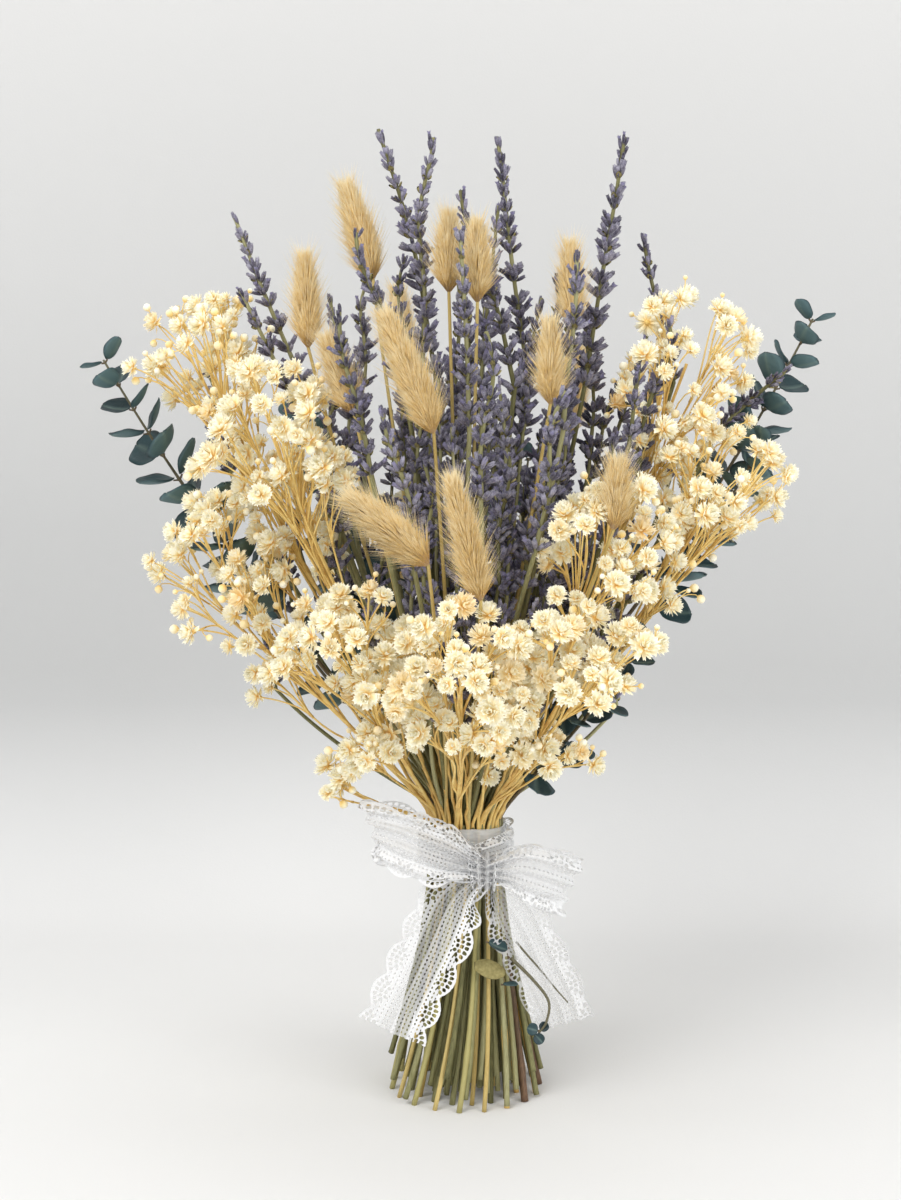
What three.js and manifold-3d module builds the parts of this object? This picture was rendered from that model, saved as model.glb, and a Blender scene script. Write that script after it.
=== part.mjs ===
// A hand-tied bunch of dried flowers that stands on its cut stem ends.
// Millimetres, +Z up, the front faces -Y, and the floor is z = 0.
import * as THREE from 'three';
import { mergeVertices } from 'three/addons/utils/BufferGeometryUtils.js';
import Module from 'manifold-3d';

const wasm = await Module();
wasm.setup();

// ---- driving dimensions -------------------------------------------------
const NECK_Z = 102;           // height of the tie
const NECK_PITCH = 3.45;      // spacing of the stems where they are tied
const NECK_RINGS = [1, 6, 12, 18, 24];
const FLARE = 52;             // height over which the bundle widens by the root of 2
const TWIST = 0.5;            // turn of the spiral of stems from the tie to the floor, radians
const WRAP_HALF = 9;          // half the height of the tape and of the ribbon over it
const LIFT_OFF = 10;          // height above the tie where the stems start to lean outwards
const LEAN_EASE = 0.1;        // softness of that start, as a share of the stem above it
const LEAN_CURVE = 0.9;       // how much more a stem leans low down than high up
const CLEARANCE = 0.7;        // least gap that the pieces settle to
const SETTLE_ROUNDS = 120;
const SETTLE_RATE = 0.6;
const BALL_STEP = 7;          // between the balls that fill a stem as it settles
const LEAST_FOLLOW = 0.03;    // a ball that follows its head less than this isn't pushed
const SURE_FOLLOW = 0.2;      // and one that follows it less than this is pushed gently
const GOLDEN_TURN = Math.PI * (3 - Math.sqrt(5));
const GOLDEN_RATIO = (Math.sqrt(5) - 1) / 2;

const STEM_RADIUS = { lavender: 1.1, bunny_tail: 0.9, gypsophila: 1.1, eucalyptus: 1.3 };
const SIDES = { lavender: 5, bunny_tail: 6, gypsophila: 5, eucalyptus: 5 };
const STEM_LEVELS = [-60, -30, -WRAP_HALF, 0, WRAP_HALF];   // rings of a stem round the tie
const STEM_STEPS = 5;         // rings from there to the head
const STEP_POWER = 1.25;      // how much closer those rings stand low down
const STEM_TAPER = 0.25;
const SAMPLES_PER_STEP = 12;  // of a stem's length between two of its rings
const UPPER_STEM = 0.9;       // share of its height at which a stem takes its last lean
const EARLY_NOD = 0.6;        // weight of the lean of the stem in the first part of a head
const LATE_NOD = 2;           // and of the nod in the rest of it
const HEAD_BEND = 0.45;       // share of a long head below its bend
const WHORLS = 5;
const WHORL_TAPER = 0.35;
const WHORL_WAIST = 1.6;
const FLOWER_RADIUS = 5;
const TWIG_RADIUS = 0.55;
const TWIG_LOWEST = 0.45;     // share of a stem below which no twig leaves it
const TWIG_LEAST = 8;         // and the least height of that above the tie
const TWIG_SAG = 0.1;         // sag of a twig as a share of its reach
const CROWN_SPAN = 1.7;       // share of a ball of half height 1 that the flowers cover
const LEAF_THICKNESS = 0.7;
const LEAF_SPACING = 3.8;     // between the pairs of leaves, in leaf radii
const LEAF_SIDES = 6;
const SLEEVE_SIDES = 22;
const STRIP_STEPS = 10;
const TAPE_THICKNESS = 0.5;
const LACE_THICKNESS = 0.8;
const LACE_WIDTH = 28;
const KNOT_STANDOFF = 2.2;    // middle of the knot in front of the wrap
const KNOT_DROP = 7;
const KNOT_HALVES = [6, 3.6, 6.5];
const GATHER_OVER = 0.3;      // share of a run of ribbon over which its gathers open

// ---- the plants ---------------------------------------------------------
// Each row gives the point where the head starts: x, y and z, then the head's length,
// its radius, and how far it nods towards +X for each unit of rise.
const LAVENDER = [
  [-12, 8, 291, 96, 4.6, -0.3], [-14, -14, 296, 84, 4.2, 0.06], [25, 4, 285, 98, 4.6, -0.31],
  [16, -28, 286, 76, 4.4, -0.49], [1, -46, 270, 74, 4.2, -0.08], [46, -8, 286, 96, 5.0, 0.13],
  [82, 8, 287, 58, 4.2, -0.55], [-22, -30, 278, 68, 4.4, -0.32], [-65, 12, 287, 70, 4.4, -0.49],
  [-64, -14, 267, 62, 4.4, -0.57], [-35, -52, 254, 62, 4.2, -0.2], [100, 4, 268, 36, 4.0, 1.6],
  [35, -46, 270, 66, 4.4, 0.02], [5, -66, 246, 62, 4.4, 0.08], [25, -62, 228, 60, 4.4, 0.12],
  [-19, -72, 222, 58, 4.4, -0.1], [56, -38, 235, 60, 4.4, 0.16], [66, -22, 255, 56, 4.2, 0.06],
  [-98, 30, 248, 44, 4.0, -0.2], [-3, 36, 262, 70, 4.6, 0.02], [34, 40, 256, 64, 4.6, 0.12],
  [-44, 44, 256, 66, 4.6, -0.14], [68, 50, 244, 66, 4.4, 0.2], [6, 66, 248, 72, 4.4, 0.04],
];
const BUNNY_TAILS = [
  [-36, -2, 327, 37, 8, -0.38], [-7, -20, 322, 28, 7, 0.02], [4, -34, 318, 28, 6, -0.03],
  [-60, -22, 301, 34, 6, 0.09], [-42, -44, 277, 29, 6, -0.46], [-12, -66, 271, 46, 8, -0.62],
  [40, -24, 309, 30, 5.5, -0.15], [31, -54, 281, 29, 5.5, -0.1], [-11, -88, 226, 38, 9, -2.4],
  [1, -86, 213, 46, 6, -0.37], [51, -72, 237, 24, 6.5, -0.08], [-24, 62, 284, 40, 7.5, -0.1],
  [44, 64, 262, 38, 7.5, 0.16],
];
// Each row gives the middle of the crown: x, y and z, then its half width and half height.
const GYPSOPHILA = [
  [-97, -5, 297, 25, 22], [-74, -38, 271, 26, 22], [-94, -22, 216, 26, 26],
  [-43, -66, 190, 27, 24], [-3, -84, 188, 24, 22], [40, -74, 188, 28, 22],
  [54, -58, 230, 24, 22], [84, -22, 295, 28, 22], [97, -30, 250, 26, 22],
  [-59, -40, 131, 9, 6], [-37, 66, 216, 30, 26], [48, 62, 206, 30, 26],
];
const FLOWERS_PER_SPRAY = 7;
const FLOWERS_ON_TWIG = 3;
const SINGLE_TWIG_WIDTH = 12; // a crown narrower than this is a single twig
const CROWN_DEPTH = 0.8;      // depth of a crown as a share of its width
const LEAF_RISE = 0.45;       // how far a leaf points up its branch
const LARGEST_LEAF = 1.15;    // radius of the lowest leaf, as a share of the branch's leaf
const LEAF_TAPER = 0.5;       // and how much of that is lost up to the tip
const LEAF_LENGTH = 1.16;     // length of a leaf over its width
// Each row gives the tip: x, y and z, then the length that bears leaves and the leaf radius.
const EUCALYPTUS = [
  [-143, 6, 296, 92, 5.6], [137, 10, 312, 92, 5.4], [116, -8, 265, 60, 5.8],
  [-93, 30, 218, 60, 5.6], [67, -40, 192, 58, 5.8], [28, 84, 252, 80, 6.2],
  [-72, 66, 270, 84, 6.0],
];

const COLOURS = {
  lavender: 0x6e6a86, bunny_tail: 0xdfbd7c, gypsophila: 0xfaecc8, eucalyptus: 0x4a6a70,
  binding_tape: 0xe8ecee, lace_ribbon: 0xf4f2ee,
};

// ---- solids -------------------------------------------------------------
function finish(kind, roughness) {
  return new THREE.MeshStandardMaterial({ color: COLOURS[kind], roughness, metalness: 0 });
}

// Joins the seams of a geometry and drops its flat triangles, so that it is one closed skin.
function closeSkin(geometry) {
  geometry.deleteAttribute('normal');
  geometry.deleteAttribute('uv');
  const merged = mergeVertices(geometry, 1e-5);
  const index = Array.from(merged.index.array);
  const kept = [];
  for (let i = 0; i < index.length; i += 3) {
    const [a, b, c] = index.slice(i, i + 3);
    if (a !== b && b !== c && c !== a) {
      kept.push(a, b, c);
    }
  }
  merged.setIndex(kept);
  return merged;
}

// Turns every face over if the skin faces inwards.
function faceOutwards(geometry) {
  const at = geometry.getAttribute('position');
  const index = geometry.index.array;
  const [a, b, c] = [new THREE.Vector3(), new THREE.Vector3(), new THREE.Vector3()];
  let volume = 0;
  for (let i = 0; i < index.length; i += 3) {
    a.fromBufferAttribute(at, index[i]);
    b.fromBufferAttribute(at, index[i + 1]);
    c.fromBufferAttribute(at, index[i + 2]);
    volume += a.dot(b.cross(c));
  }
  if (volume < 0) {
    for (let i = 0; i < index.length; i += 3) {
      [index[i], index[i + 1]] = [index[i + 1], index[i]];
    }
  }
  return geometry;
}

// A turned shape bent along a curve. The profile lists [share of the curve, radius] and
// starts and ends on the axis. The first ring is cut level, as a stem is.
function bentLathe(profile, curve, sides) {
  const outline = profile.map(([along, radius]) => new THREE.Vector2(radius, along));
  const geometry = closeSkin(new THREE.LatheGeometry(outline, sides));
  const start = curve.getPointAt(0);
  const chord = curve.getPointAt(1).sub(start);
  const side = new THREE.Vector3(0, 0, 1).cross(chord);
  if (side.lengthSq() < 1) {
    side.set(1, 0, 0);
  }
  const at = geometry.getAttribute('position');
  for (let i = 0; i < at.count; i += 1) {
    const share = THREE.MathUtils.clamp(at.getY(i), 0, 1);
    const tangent = curve.getTangentAt(share);
    const front = new THREE.Vector3().crossVectors(tangent, side).normalize();
    const across = new THREE.Vector3().crossVectors(front, tangent);
    const point = curve.getPointAt(share)
      .addScaledVector(across, at.getX(i))
      .addScaledVector(front, at.getZ(i));
    if (share === 0) {
      point.z = start.z;
    }
    at.setXYZ(i, point.x, point.y, point.z);
  }
  return faceOutwards(geometry);
}

function toSolid(geometry) {
  return new wasm.Manifold(new wasm.Mesh({
    numProp: 3,
    vertProperties: new Float32Array(geometry.getAttribute('position').array),
    triVerts: new Uint32Array(geometry.index.array),
  }));
}

// Joins closed geometries that run into each other into one skin.
function join(geometries) {
  const solid = geometries.map(toSolid).reduce((sum, next) => sum.add(next));
  const mesh = solid.getMesh();
  const geometry = new THREE.BufferGeometry();
  geometry.setAttribute('position', new THREE.BufferAttribute(mesh.vertProperties, 3));
  geometry.setIndex(new THREE.BufferAttribute(mesh.triVerts, 1));
  return geometry;
}

// ---- where the stems run ------------------------------------------------
const widening = (above) => Math.sqrt(1 + (above / FLARE) ** 2);

function lean(above, reach) {
  const t = Math.max(0, above - LIFT_OFF) / (reach - LIFT_OFF);
  const eased = (t * t * (1 + LEAN_EASE)) / (t + LEAN_EASE);
  return (1 - Math.exp(-LEAN_CURVE * eased)) / (1 - Math.exp(-LEAN_CURVE));
}

// The point of a stem at a height above the tie, which is below zero under it.
function stemPoint(plant, above) {
  const wide = widening(above);
  const place = plant.neck.clone().multiplyScalar(wide);
  if (above < 0) {
    place.rotateAround(new THREE.Vector2(), (TWIST * above) / NECK_Z);
  } else {
    const reach = plant.head.z - NECK_Z;
    const target = new THREE.Vector2(plant.head.x, plant.head.y);
    const full = plant.neck.clone().multiplyScalar(widening(reach));
    place.addScaledVector(target.sub(full), lean(above, reach));
  }
  return new THREE.Vector3(place.x, place.y, NECK_Z + above);
}

// The heights above the tie that a stem is drawn through, from its cut end to its head.
function stemLevels(plant) {
  const reach = plant.head.z - NECK_Z;
  const levels = [plant.cut - NECK_Z, ...STEM_LEVELS];
  for (let i = 1; i <= STEM_STEPS; i += 1) {
    levels.push(THREE.MathUtils.lerp(WRAP_HALF, reach, (i / STEM_STEPS) ** STEP_POWER));
  }
  return levels;
}

// The line of a stem from its cut end to its head, and on through the head.
function stemCurve(plant) {
  const reach = plant.head.z - NECK_Z;
  const points = stemLevels(plant).map((above) => stemPoint(plant, above));
  if (plant.length > 0) {
    const rise = plant.head.clone().sub(stemPoint(plant, reach * UPPER_STEM)).normalize();
    const nod = new THREE.Vector3(plant.nod, 0, 1).normalize();
    const early = rise.clone().multiplyScalar(EARLY_NOD).add(nod).normalize();
    const late = nod.clone().multiplyScalar(LATE_NOD).add(rise).normalize();
    const middle = plant.head.clone().addScaledVector(early, plant.length * HEAD_BEND);
    const end = middle.clone().addScaledVector(late, plant.length * (1 - HEAD_BEND));
    points.push(middle, end);
  }
  return new THREE.CatmullRomCurve3(points, false, 'centripetal');
}

// The middles of the flowers of a spray, set round its crown at golden turns.
function flowerPoints(plant) {
  const single = plant.width < SINGLE_TWIG_WIDTH;
  const count = single ? FLOWERS_ON_TWIG : FLOWERS_PER_SPRAY;
  const points = [];
  for (let i = 0; i < count; i += 1) {
    const rise = 1 - (CROWN_SPAN * (i + 0.3)) / count;
    const out = Math.sqrt(1 - rise * rise);
    const turn = plant.turn + i * GOLDEN_TURN;
    const place = new THREE.Vector3(
      plant.width * out * Math.cos(turn),
      plant.width * out * Math.sin(turn) * CROWN_DEPTH,
      plant.tall * rise,
    );
    points.push(place.add(plant.head));
  }
  return points;
}

function twigCurve(plant, flower) {
  const reach = plant.head.z - NECK_Z;
  const low = Math.max(reach * TWIG_LOWEST, TWIG_LEAST);
  const level = flower.z - NECK_Z - plant.tall;
  const start = stemPoint(plant, THREE.MathUtils.clamp(level, low, reach));
  const bend = start.clone().lerp(flower, 0.5);
  bend.z -= start.distanceTo(flower) * TWIG_SAG;
  const end = flower.clone().add(flower.clone().sub(bend).setLength(FLOWER_RADIUS));
  return new THREE.CatmullRomCurve3([start, bend, flower, end], false, 'centripetal');
}

// The pairs of leaves of a branch: for each leaf its middle, its stalk's end and its radius.
function leafPlaces(plant, curve) {
  const places = [];
  const total = curve.getLength();
  const pairs = Math.round(plant.leafy / (plant.leaf * LEAF_SPACING));
  for (let i = 0; i <= pairs; i += 1) {
    const along = 1 - (plant.leafy * (1 - i / pairs)) / total - 0.004;
    const stalk = curve.getPointAt(along);
    const tangent = curve.getTangentAt(along);
    const radius = plant.leaf * (LARGEST_LEAF - LEAF_TAPER * (i / pairs));
    const turn = plant.turn + i * Math.PI * 0.5 + 0.3 * i;
    const out = new THREE.Vector3(Math.cos(turn), Math.sin(turn), 0);
    out.addScaledVector(tangent, -out.dot(tangent)).normalize();
    for (const way of [1, -1]) {
      const blade = out.clone().multiplyScalar(way);
      blade.addScaledVector(tangent, LEAF_RISE).normalize();
      const middle = stalk.clone().addScaledVector(blade, radius * 0.98);
      places.push({ middle, blade, tangent, radius });
    }
  }
  return places;
}

// ---- the layout settles -------------------------------------------------
function makePlants(kind, rows) {
  return rows.map((row, i) => {
    const plant = {
      kind,
      name: `${kind}_${String(i + 1).padStart(2, '0')}`,
      head: new THREE.Vector3(row[0], row[1], row[2]),
      turn: i * GOLDEN_TURN * 1.7,
      radius: STEM_RADIUS[kind],
      length: 0,
      nod: 0,
      cut: 0,
    };
    if (kind === 'gypsophila') {
      [plant.width, plant.tall] = row.slice(3);
    } else if (kind === 'eucalyptus') {
      [plant.leafy, plant.leaf] = row.slice(3);
    } else {
      [plant.length, plant.fat, plant.nod] = row.slice(3);
    }
    return plant;
  });
}

// Gives every stem a place in the tie: the more a stem leans, the further out it is held,
// and round each ring the stems keep the order of their heads.
function packNeck(plants) {
  const leaning = (p) => Math.hypot(p.head.x, p.head.y) / (p.head.z + p.length - NECK_Z);
  const queue = [...plants].sort((a, b) => leaning(a) - leaning(b));
  const azimuth = (p) => Math.atan2(p.head.y, p.head.x);
  NECK_RINGS.forEach((room, ring) => {
    const held = queue.splice(0, room).sort((a, b) => azimuth(a) - azimuth(b));
    const step = (2 * Math.PI) / held.length;
    let turn = 0;
    held.forEach((p, i) => {
      turn += Math.sin(azimuth(p) - i * step) / held.length;
    });
    let best = 0;
    let least = Infinity;
    for (let k = 0; k < 72; k += 1) {
      const offset = (k * Math.PI) / 36;
      const miss = held.reduce((sum, p, i) => sum - Math.cos(azimuth(p) - i * step - offset), 0);
      if (miss < least) {
        least = miss;
        best = offset;
      }
    }
    held.forEach((p, i) => {
      const angle = i * step + best;
      p.neck = new THREE.Vector2(Math.cos(angle), Math.sin(angle)).multiplyScalar(ring * NECK_PITCH);
      p.cut = ring >= NECK_RINGS.length - 2 ? 0 : 2 + 7 * ((p.turn * GOLDEN_RATIO) % 1);
    });
  });
}

// Balls that fill a plant above the tie. Each has its middle, its radius and how far it
// follows the head when that moves.
function ballsOf(plant) {
  const balls = [];
  const reach = plant.head.z - NECK_Z;
  const levels = stemLevels(plant).filter((above) => above >= WRAP_HALF);
  for (let i = 1; i < levels.length; i += 1) {
    const [low, high] = [stemPoint(plant, levels[i - 1]), stemPoint(plant, levels[i])];
    const steps = Math.ceil(low.distanceTo(high) / BALL_STEP);
    for (let k = 1; k <= steps; k += 1) {
      const point = low.clone().lerp(high, k / steps);
      balls.push([point, plant.radius, lean(point.z - NECK_Z, reach)]);
    }
  }
  if (plant.kind === 'gypsophila') {
    for (const flower of flowerPoints(plant)) {
      balls.push([flower, FLOWER_RADIUS, 1]);
      const twig = twigCurve(plant, flower);
      for (const t of [0.2, 0.35, 0.5, 0.65]) {
        balls.push([twig.getPoint(t), TWIG_RADIUS, 1]);
      }
    }
  } else if (plant.kind === 'eucalyptus') {
    for (const leaf of leafPlaces(plant, stemCurve(plant))) {
      balls.push([leaf.middle, leaf.radius * 0.9, 1]);
    }
  } else {
    const curve = stemCurve(plant);
    const total = curve.getLength();
    const beads = Math.ceil(plant.length / plant.fat);
    for (let i = 0; i <= beads; i += 1) {
      const along = 1 - (plant.length * (1 - i / beads)) / total;
      balls.push([curve.getPointAt(along), plant.fat, 1]);
    }
  }
  return balls;
}

// Moves the heads sideways until no piece touches another.
function settle(plants, fixed) {
  let worst = 0;
  for (let round = 0; round < SETTLE_ROUNDS; round += 1) {
    const sets = plants.map(ballsOf);
    const moves = plants.map(() => ({ sum: new THREE.Vector2(), weight: 0 }));
    worst = 0;
    const push = (i, ball, other) => {
      const away = new THREE.Vector2(ball[0].x - other[0].x, ball[0].y - other[0].y);
      const apart = ball[0].distanceTo(other[0]);
      const deep = ball[1] + other[1] + CLEARANCE - apart;
      if (deep <= 0 || ball[2] < LEAST_FOLLOW) {
        return;
      }
      if (away.lengthSq() < 0.01) {
        away.set(Math.cos(i * GOLDEN_TURN), Math.sin(i * GOLDEN_TURN));
      }
      worst = Math.max(worst, deep);
      const need = deep * deep;
      moves[i].sum.addScaledVector(away.normalize(), (need * deep) / Math.max(ball[2], SURE_FOLLOW));
      moves[i].weight += need;
    };
    for (let i = 0; i < sets.length; i += 1) {
      for (let j = i + 1; j < sets.length; j += 1) {
        for (const a of sets[i]) {
          for (const b of sets[j]) {
            const room = a[1] + b[1] + CLEARANCE;
            if (Math.abs(a[0].z - b[0].z) < room && Math.abs(a[0].x - b[0].x) < room) {
              push(i, a, b);
              push(j, b, a);
            }
          }
        }
      }
      for (const a of sets[i]) {
        for (const b of fixed) {
          push(i, a, b);
        }
      }
    }
    moves.forEach((move, i) => {
      if (move.weight > 0) {
        move.sum.multiplyScalar(SETTLE_RATE / move.weight);
        plants[i].head.x += move.sum.x;
        plants[i].head.y += move.sum.y;
      }
    });
  }
  return worst;
}

// ---- the pieces ---------------------------------------------------------
// The profile of a stem up to its head, with a ring at each point that its curve runs
// through.
function stemProfile(curve, plant) {
  const profile = [[0, 0], [0, plant.radius]];
  const lengths = curve.getLengths((curve.points.length - 1) * SAMPLES_PER_STEP);
  const total = lengths[lengths.length - 1];
  const last = stemLevels(plant).length - 1;
  for (let i = 1; i <= last; i += 1) {
    const radius = plant.radius * (1 - (STEM_TAPER * i) / last);
    profile.push([lengths[i * SAMPLES_PER_STEP] / total, radius]);
  }
  return profile;
}

function lavenderGeometry(plant) {
  const curve = stemCurve(plant);
  const spike = plant.length / curve.getLength();
  const profile = stemProfile(curve, plant);
  for (let i = 0; i < WHORLS; i += 1) {
    const fat = plant.fat * (1 - WHORL_TAPER * (i / WHORLS));
    profile.push([1 - spike * (1 - (i + 0.55) / WHORLS), fat]);
    profile.push([1 - spike * (1 - (i + 0.98) / WHORLS), i < WHORLS - 1 ? WHORL_WAIST : 0]);
  }
  return bentLathe(profile, curve, SIDES.lavender);
}

function bunnyTailGeometry(plant) {
  const curve = stemCurve(plant);
  const tail = plant.length / curve.getLength();
  const profile = stemProfile(curve, plant);
  const rings = 5;
  for (let i = 1; i < rings; i += 1) {
    const t = i / rings;
    profile.push([1 - tail * (1 - t), plant.fat * Math.sin(Math.PI * t ** 0.72) ** 0.6]);
  }
  profile.push([1, 0]);
  return bentLathe(profile, curve, SIDES.bunny_tail);
}

function flowerTwig(plant, flower) {
  const curve = twigCurve(plant, flower);
  const ball = (2 * FLOWER_RADIUS) / curve.getLength();
  const profile = [[0, 0], [0, TWIG_RADIUS], [(1 - ball) / 2, TWIG_RADIUS], [1 - ball, TWIG_RADIUS]];
  for (const t of [0.22, 0.5, 0.78]) {
    profile.push([1 - ball * (1 - t), FLOWER_RADIUS * Math.sin(Math.PI * t)]);
  }
  profile.push([1, 0]);
  return bentLathe(profile, curve, SIDES.gypsophila);
}

function gypsophilaGeometry(plant) {
  const curve = stemCurve(plant);
  const profile = stemProfile(curve, plant);
  profile.push([1, 0]);
  const stem = bentLathe(profile, curve, SIDES.gypsophila);
  return join([stem, ...flowerPoints(plant).map((flower) => flowerTwig(plant, flower))]);
}

function leafGeometry({ middle, blade, tangent, radius }) {
  const geometry = closeSkin(
    new THREE.CylinderGeometry(radius * 0.86, radius * 0.86, LEAF_THICKNESS, LEAF_SIDES),
  );
  const face = tangent.clone().addScaledVector(blade, -tangent.dot(blade)).normalize();
  const side = new THREE.Vector3().crossVectors(blade, face);
  geometry.scale(1, 1, LEAF_LENGTH);
  geometry.applyMatrix4(new THREE.Matrix4().makeBasis(side, face, blade).setPosition(middle));
  return faceOutwards(geometry);
}

function eucalyptusGeometry(plant) {
  const curve = stemCurve(plant);
  const profile = stemProfile(curve, plant);
  profile.push([1, 0]);
  const stem = bentLathe(profile, curve, SIDES.eucalyptus);
  return join([stem, ...leafPlaces(plant, curve).map(leafGeometry)]);
}

// A sleeve round the tie that follows the waist of the bundle.
function sleeve(inner, thickness, half) {
  const steps = 2;
  const outline = [];
  for (let i = 0; i <= steps; i += 1) {
    const above = THREE.MathUtils.lerp(-half, half, i / steps);
    outline.push(new THREE.Vector2(inner * widening(above) + thickness, NECK_Z + above));
  }
  for (let i = steps; i >= 0; i -= 1) {
    const above = THREE.MathUtils.lerp(-half, half, i / steps);
    outline.push(new THREE.Vector2(inner * widening(above), NECK_Z + above));
  }
  outline.push(outline[0].clone());
  const geometry = closeSkin(new THREE.LatheGeometry(outline, SLEEVE_SIDES));
  geometry.rotateX(Math.PI / 2);
  return faceOutwards(geometry);
}

const BUNDLE_RADIUS = NECK_PITCH * (NECK_RINGS.length - 1) + STEM_RADIUS.eucalyptus;
const TAPE_RADIUS = BUNDLE_RADIUS + 0.4;
const WRAP_RADIUS = TAPE_RADIUS + TAPE_THICKNESS + 0.4;
const KNOT = new THREE.Vector3(8, -WRAP_RADIUS - KNOT_STANDOFF, NECK_Z - KNOT_DROP);

// The ribbon's runs out of the knot: the points of its middle line, the direction of its
// width, and the share of its full width at the start and the end.
const LACE_RUNS = {
  left_loop: {
    points: [[2, -1, 0], [-18, -9, 9], [-36, -13, 17], [-45, -8, 19], [-36, -3, 16],
      [-18, -1.5, 8], [2, 1, 1]],
    across: [-0.3, -0.1, 1],
    ends: [0.45, 0.45],
  },
  right_loop: {
    points: [[-2, -1, 0], [12, -8, 3], [25, -10, 0], [33, -6, -4], [25, -2, -2],
      [12, 0, 1], [-2, 1, 0]],
    across: [0.3, -0.12, 1],
    ends: [0.45, 0.45],
  },
  left_tail: {
    points: [[1, -1, 1], [-12, -5, -8], [-22, -9, -28], [-33, -13, -50], [-36, -14, -58]],
    across: [1, 0.15, -0.55],
    ends: [0.4, 0.9],
  },
  right_tail: {
    points: [[-1, 0, 1], [7, -2, -9], [18, -4, -30], [28, -6, -51], [31, -7, -60]],
    across: [1, -0.15, 0.45],
    ends: [0.4, 0.9],
  },
};

// A flat strip bent along a curve, gathered at the ends that lie in the knot.
function strip({ points, across, ends }) {
  const places = points.map((p) => new THREE.Vector3(...p).add(KNOT));
  const curve = new THREE.CatmullRomCurve3(places, false, 'centripetal');
  const wide = new THREE.Vector3(...across).normalize();
  const geometry = closeSkin(new THREE.BoxGeometry(1, 1, 1, STRIP_STEPS, 1, 1));
  const at = geometry.getAttribute('position');
  const atWaist = (t, end) => {
    const opened = THREE.MathUtils.smoothstep(t, 0, GATHER_OVER);
    return THREE.MathUtils.lerp(end, 1, opened);
  };
  for (let i = 0; i < at.count; i += 1) {
    const t = at.getX(i) + 0.5;
    const tangent = curve.getTangentAt(t);
    const side = wide.clone().addScaledVector(tangent, -wide.dot(tangent)).normalize();
    const face = new THREE.Vector3().crossVectors(tangent, side);
    const width = LACE_WIDTH * atWaist(t, ends[0]) * atWaist(1 - t, ends[1]);
    const point = curve.getPointAt(t)
      .addScaledVector(side, at.getY(i) * width)
      .addScaledVector(face, at.getZ(i) * LACE_THICKNESS);
    at.setXYZ(i, point.x, point.y, point.z);
  }
  return faceOutwards(geometry);
}

function knotGeometry() {
  const geometry = closeSkin(new THREE.SphereGeometry(1, 9, 6));
  geometry.scale(...KNOT_HALVES);
  geometry.translate(KNOT.x, KNOT.y, KNOT.z);
  return faceOutwards(geometry);
}

function ribbonGeometry() {
  const wrap = sleeve(WRAP_RADIUS, LACE_THICKNESS, WRAP_HALF);
  return join([wrap, knotGeometry(), ...Object.values(LACE_RUNS).map(strip)]);
}

// Balls along the bow's loops, which the stems keep clear of.
function ribbonBalls() {
  const balls = [];
  for (const run of [LACE_RUNS.left_loop, LACE_RUNS.right_loop]) {
    const wide = new THREE.Vector3(...run.across).normalize();
    for (const p of run.points) {
      for (const t of [-0.4, 0, 0.4]) {
        const middle = new THREE.Vector3(...p).add(KNOT).addScaledVector(wide, t * LACE_WIDTH);
        balls.push([middle, LACE_WIDTH * 0.2, 0]);
      }
    }
  }
  return balls;
}

// ---- the bunch ----------------------------------------------------------
const plants = [
  ...makePlants('lavender', LAVENDER),
  ...makePlants('bunny_tail', BUNNY_TAILS),
  ...makePlants('gypsophila', GYPSOPHILA),
  ...makePlants('eucalyptus', EUCALYPTUS),
];
packNeck(plants);
export const leftOver = settle(plants, ribbonBalls());

const SHAPERS = {
  lavender: lavenderGeometry,
  bunny_tail: bunnyTailGeometry,
  gypsophila: gypsophilaGeometry,
  eucalyptus: eucalyptusGeometry,
};
const group = new THREE.Group();

function addPiece(name, geometry, material) {
  const mesh = new THREE.Mesh(geometry, material);
  mesh.name = name;
  group.add(mesh);
}

for (const plant of plants) {
  addPiece(plant.name, SHAPERS[plant.kind](plant), finish(plant.kind, 0.85));
}
const tape = sleeve(TAPE_RADIUS, TAPE_THICKNESS, WRAP_HALF - 1);
addPiece('binding_tape', tape, finish('binding_tape', 0.25));
addPiece('lace_ribbon', ribbonGeometry(), finish('lace_ribbon', 0.8));

// The bunch is centred over the origin and stands on z = 0.
const box = new THREE.Box3().setFromObject(group);
group.position.set(-(box.min.x + box.max.x) / 2, -(box.min.y + box.max.y) / 2, -box.min.z);

export default group;
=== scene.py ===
"""A hand-tied bunch of dried lavender, bunny-tail grass, gypsophila and eucalyptus.

The stems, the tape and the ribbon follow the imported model. Shapes are worked out in
millimetres and put into their meshes in metres.
"""

import logging
import math
from dataclasses import dataclass, field, replace
from enum import Enum
from typing import Any, Optional, Sequence, Union

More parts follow.
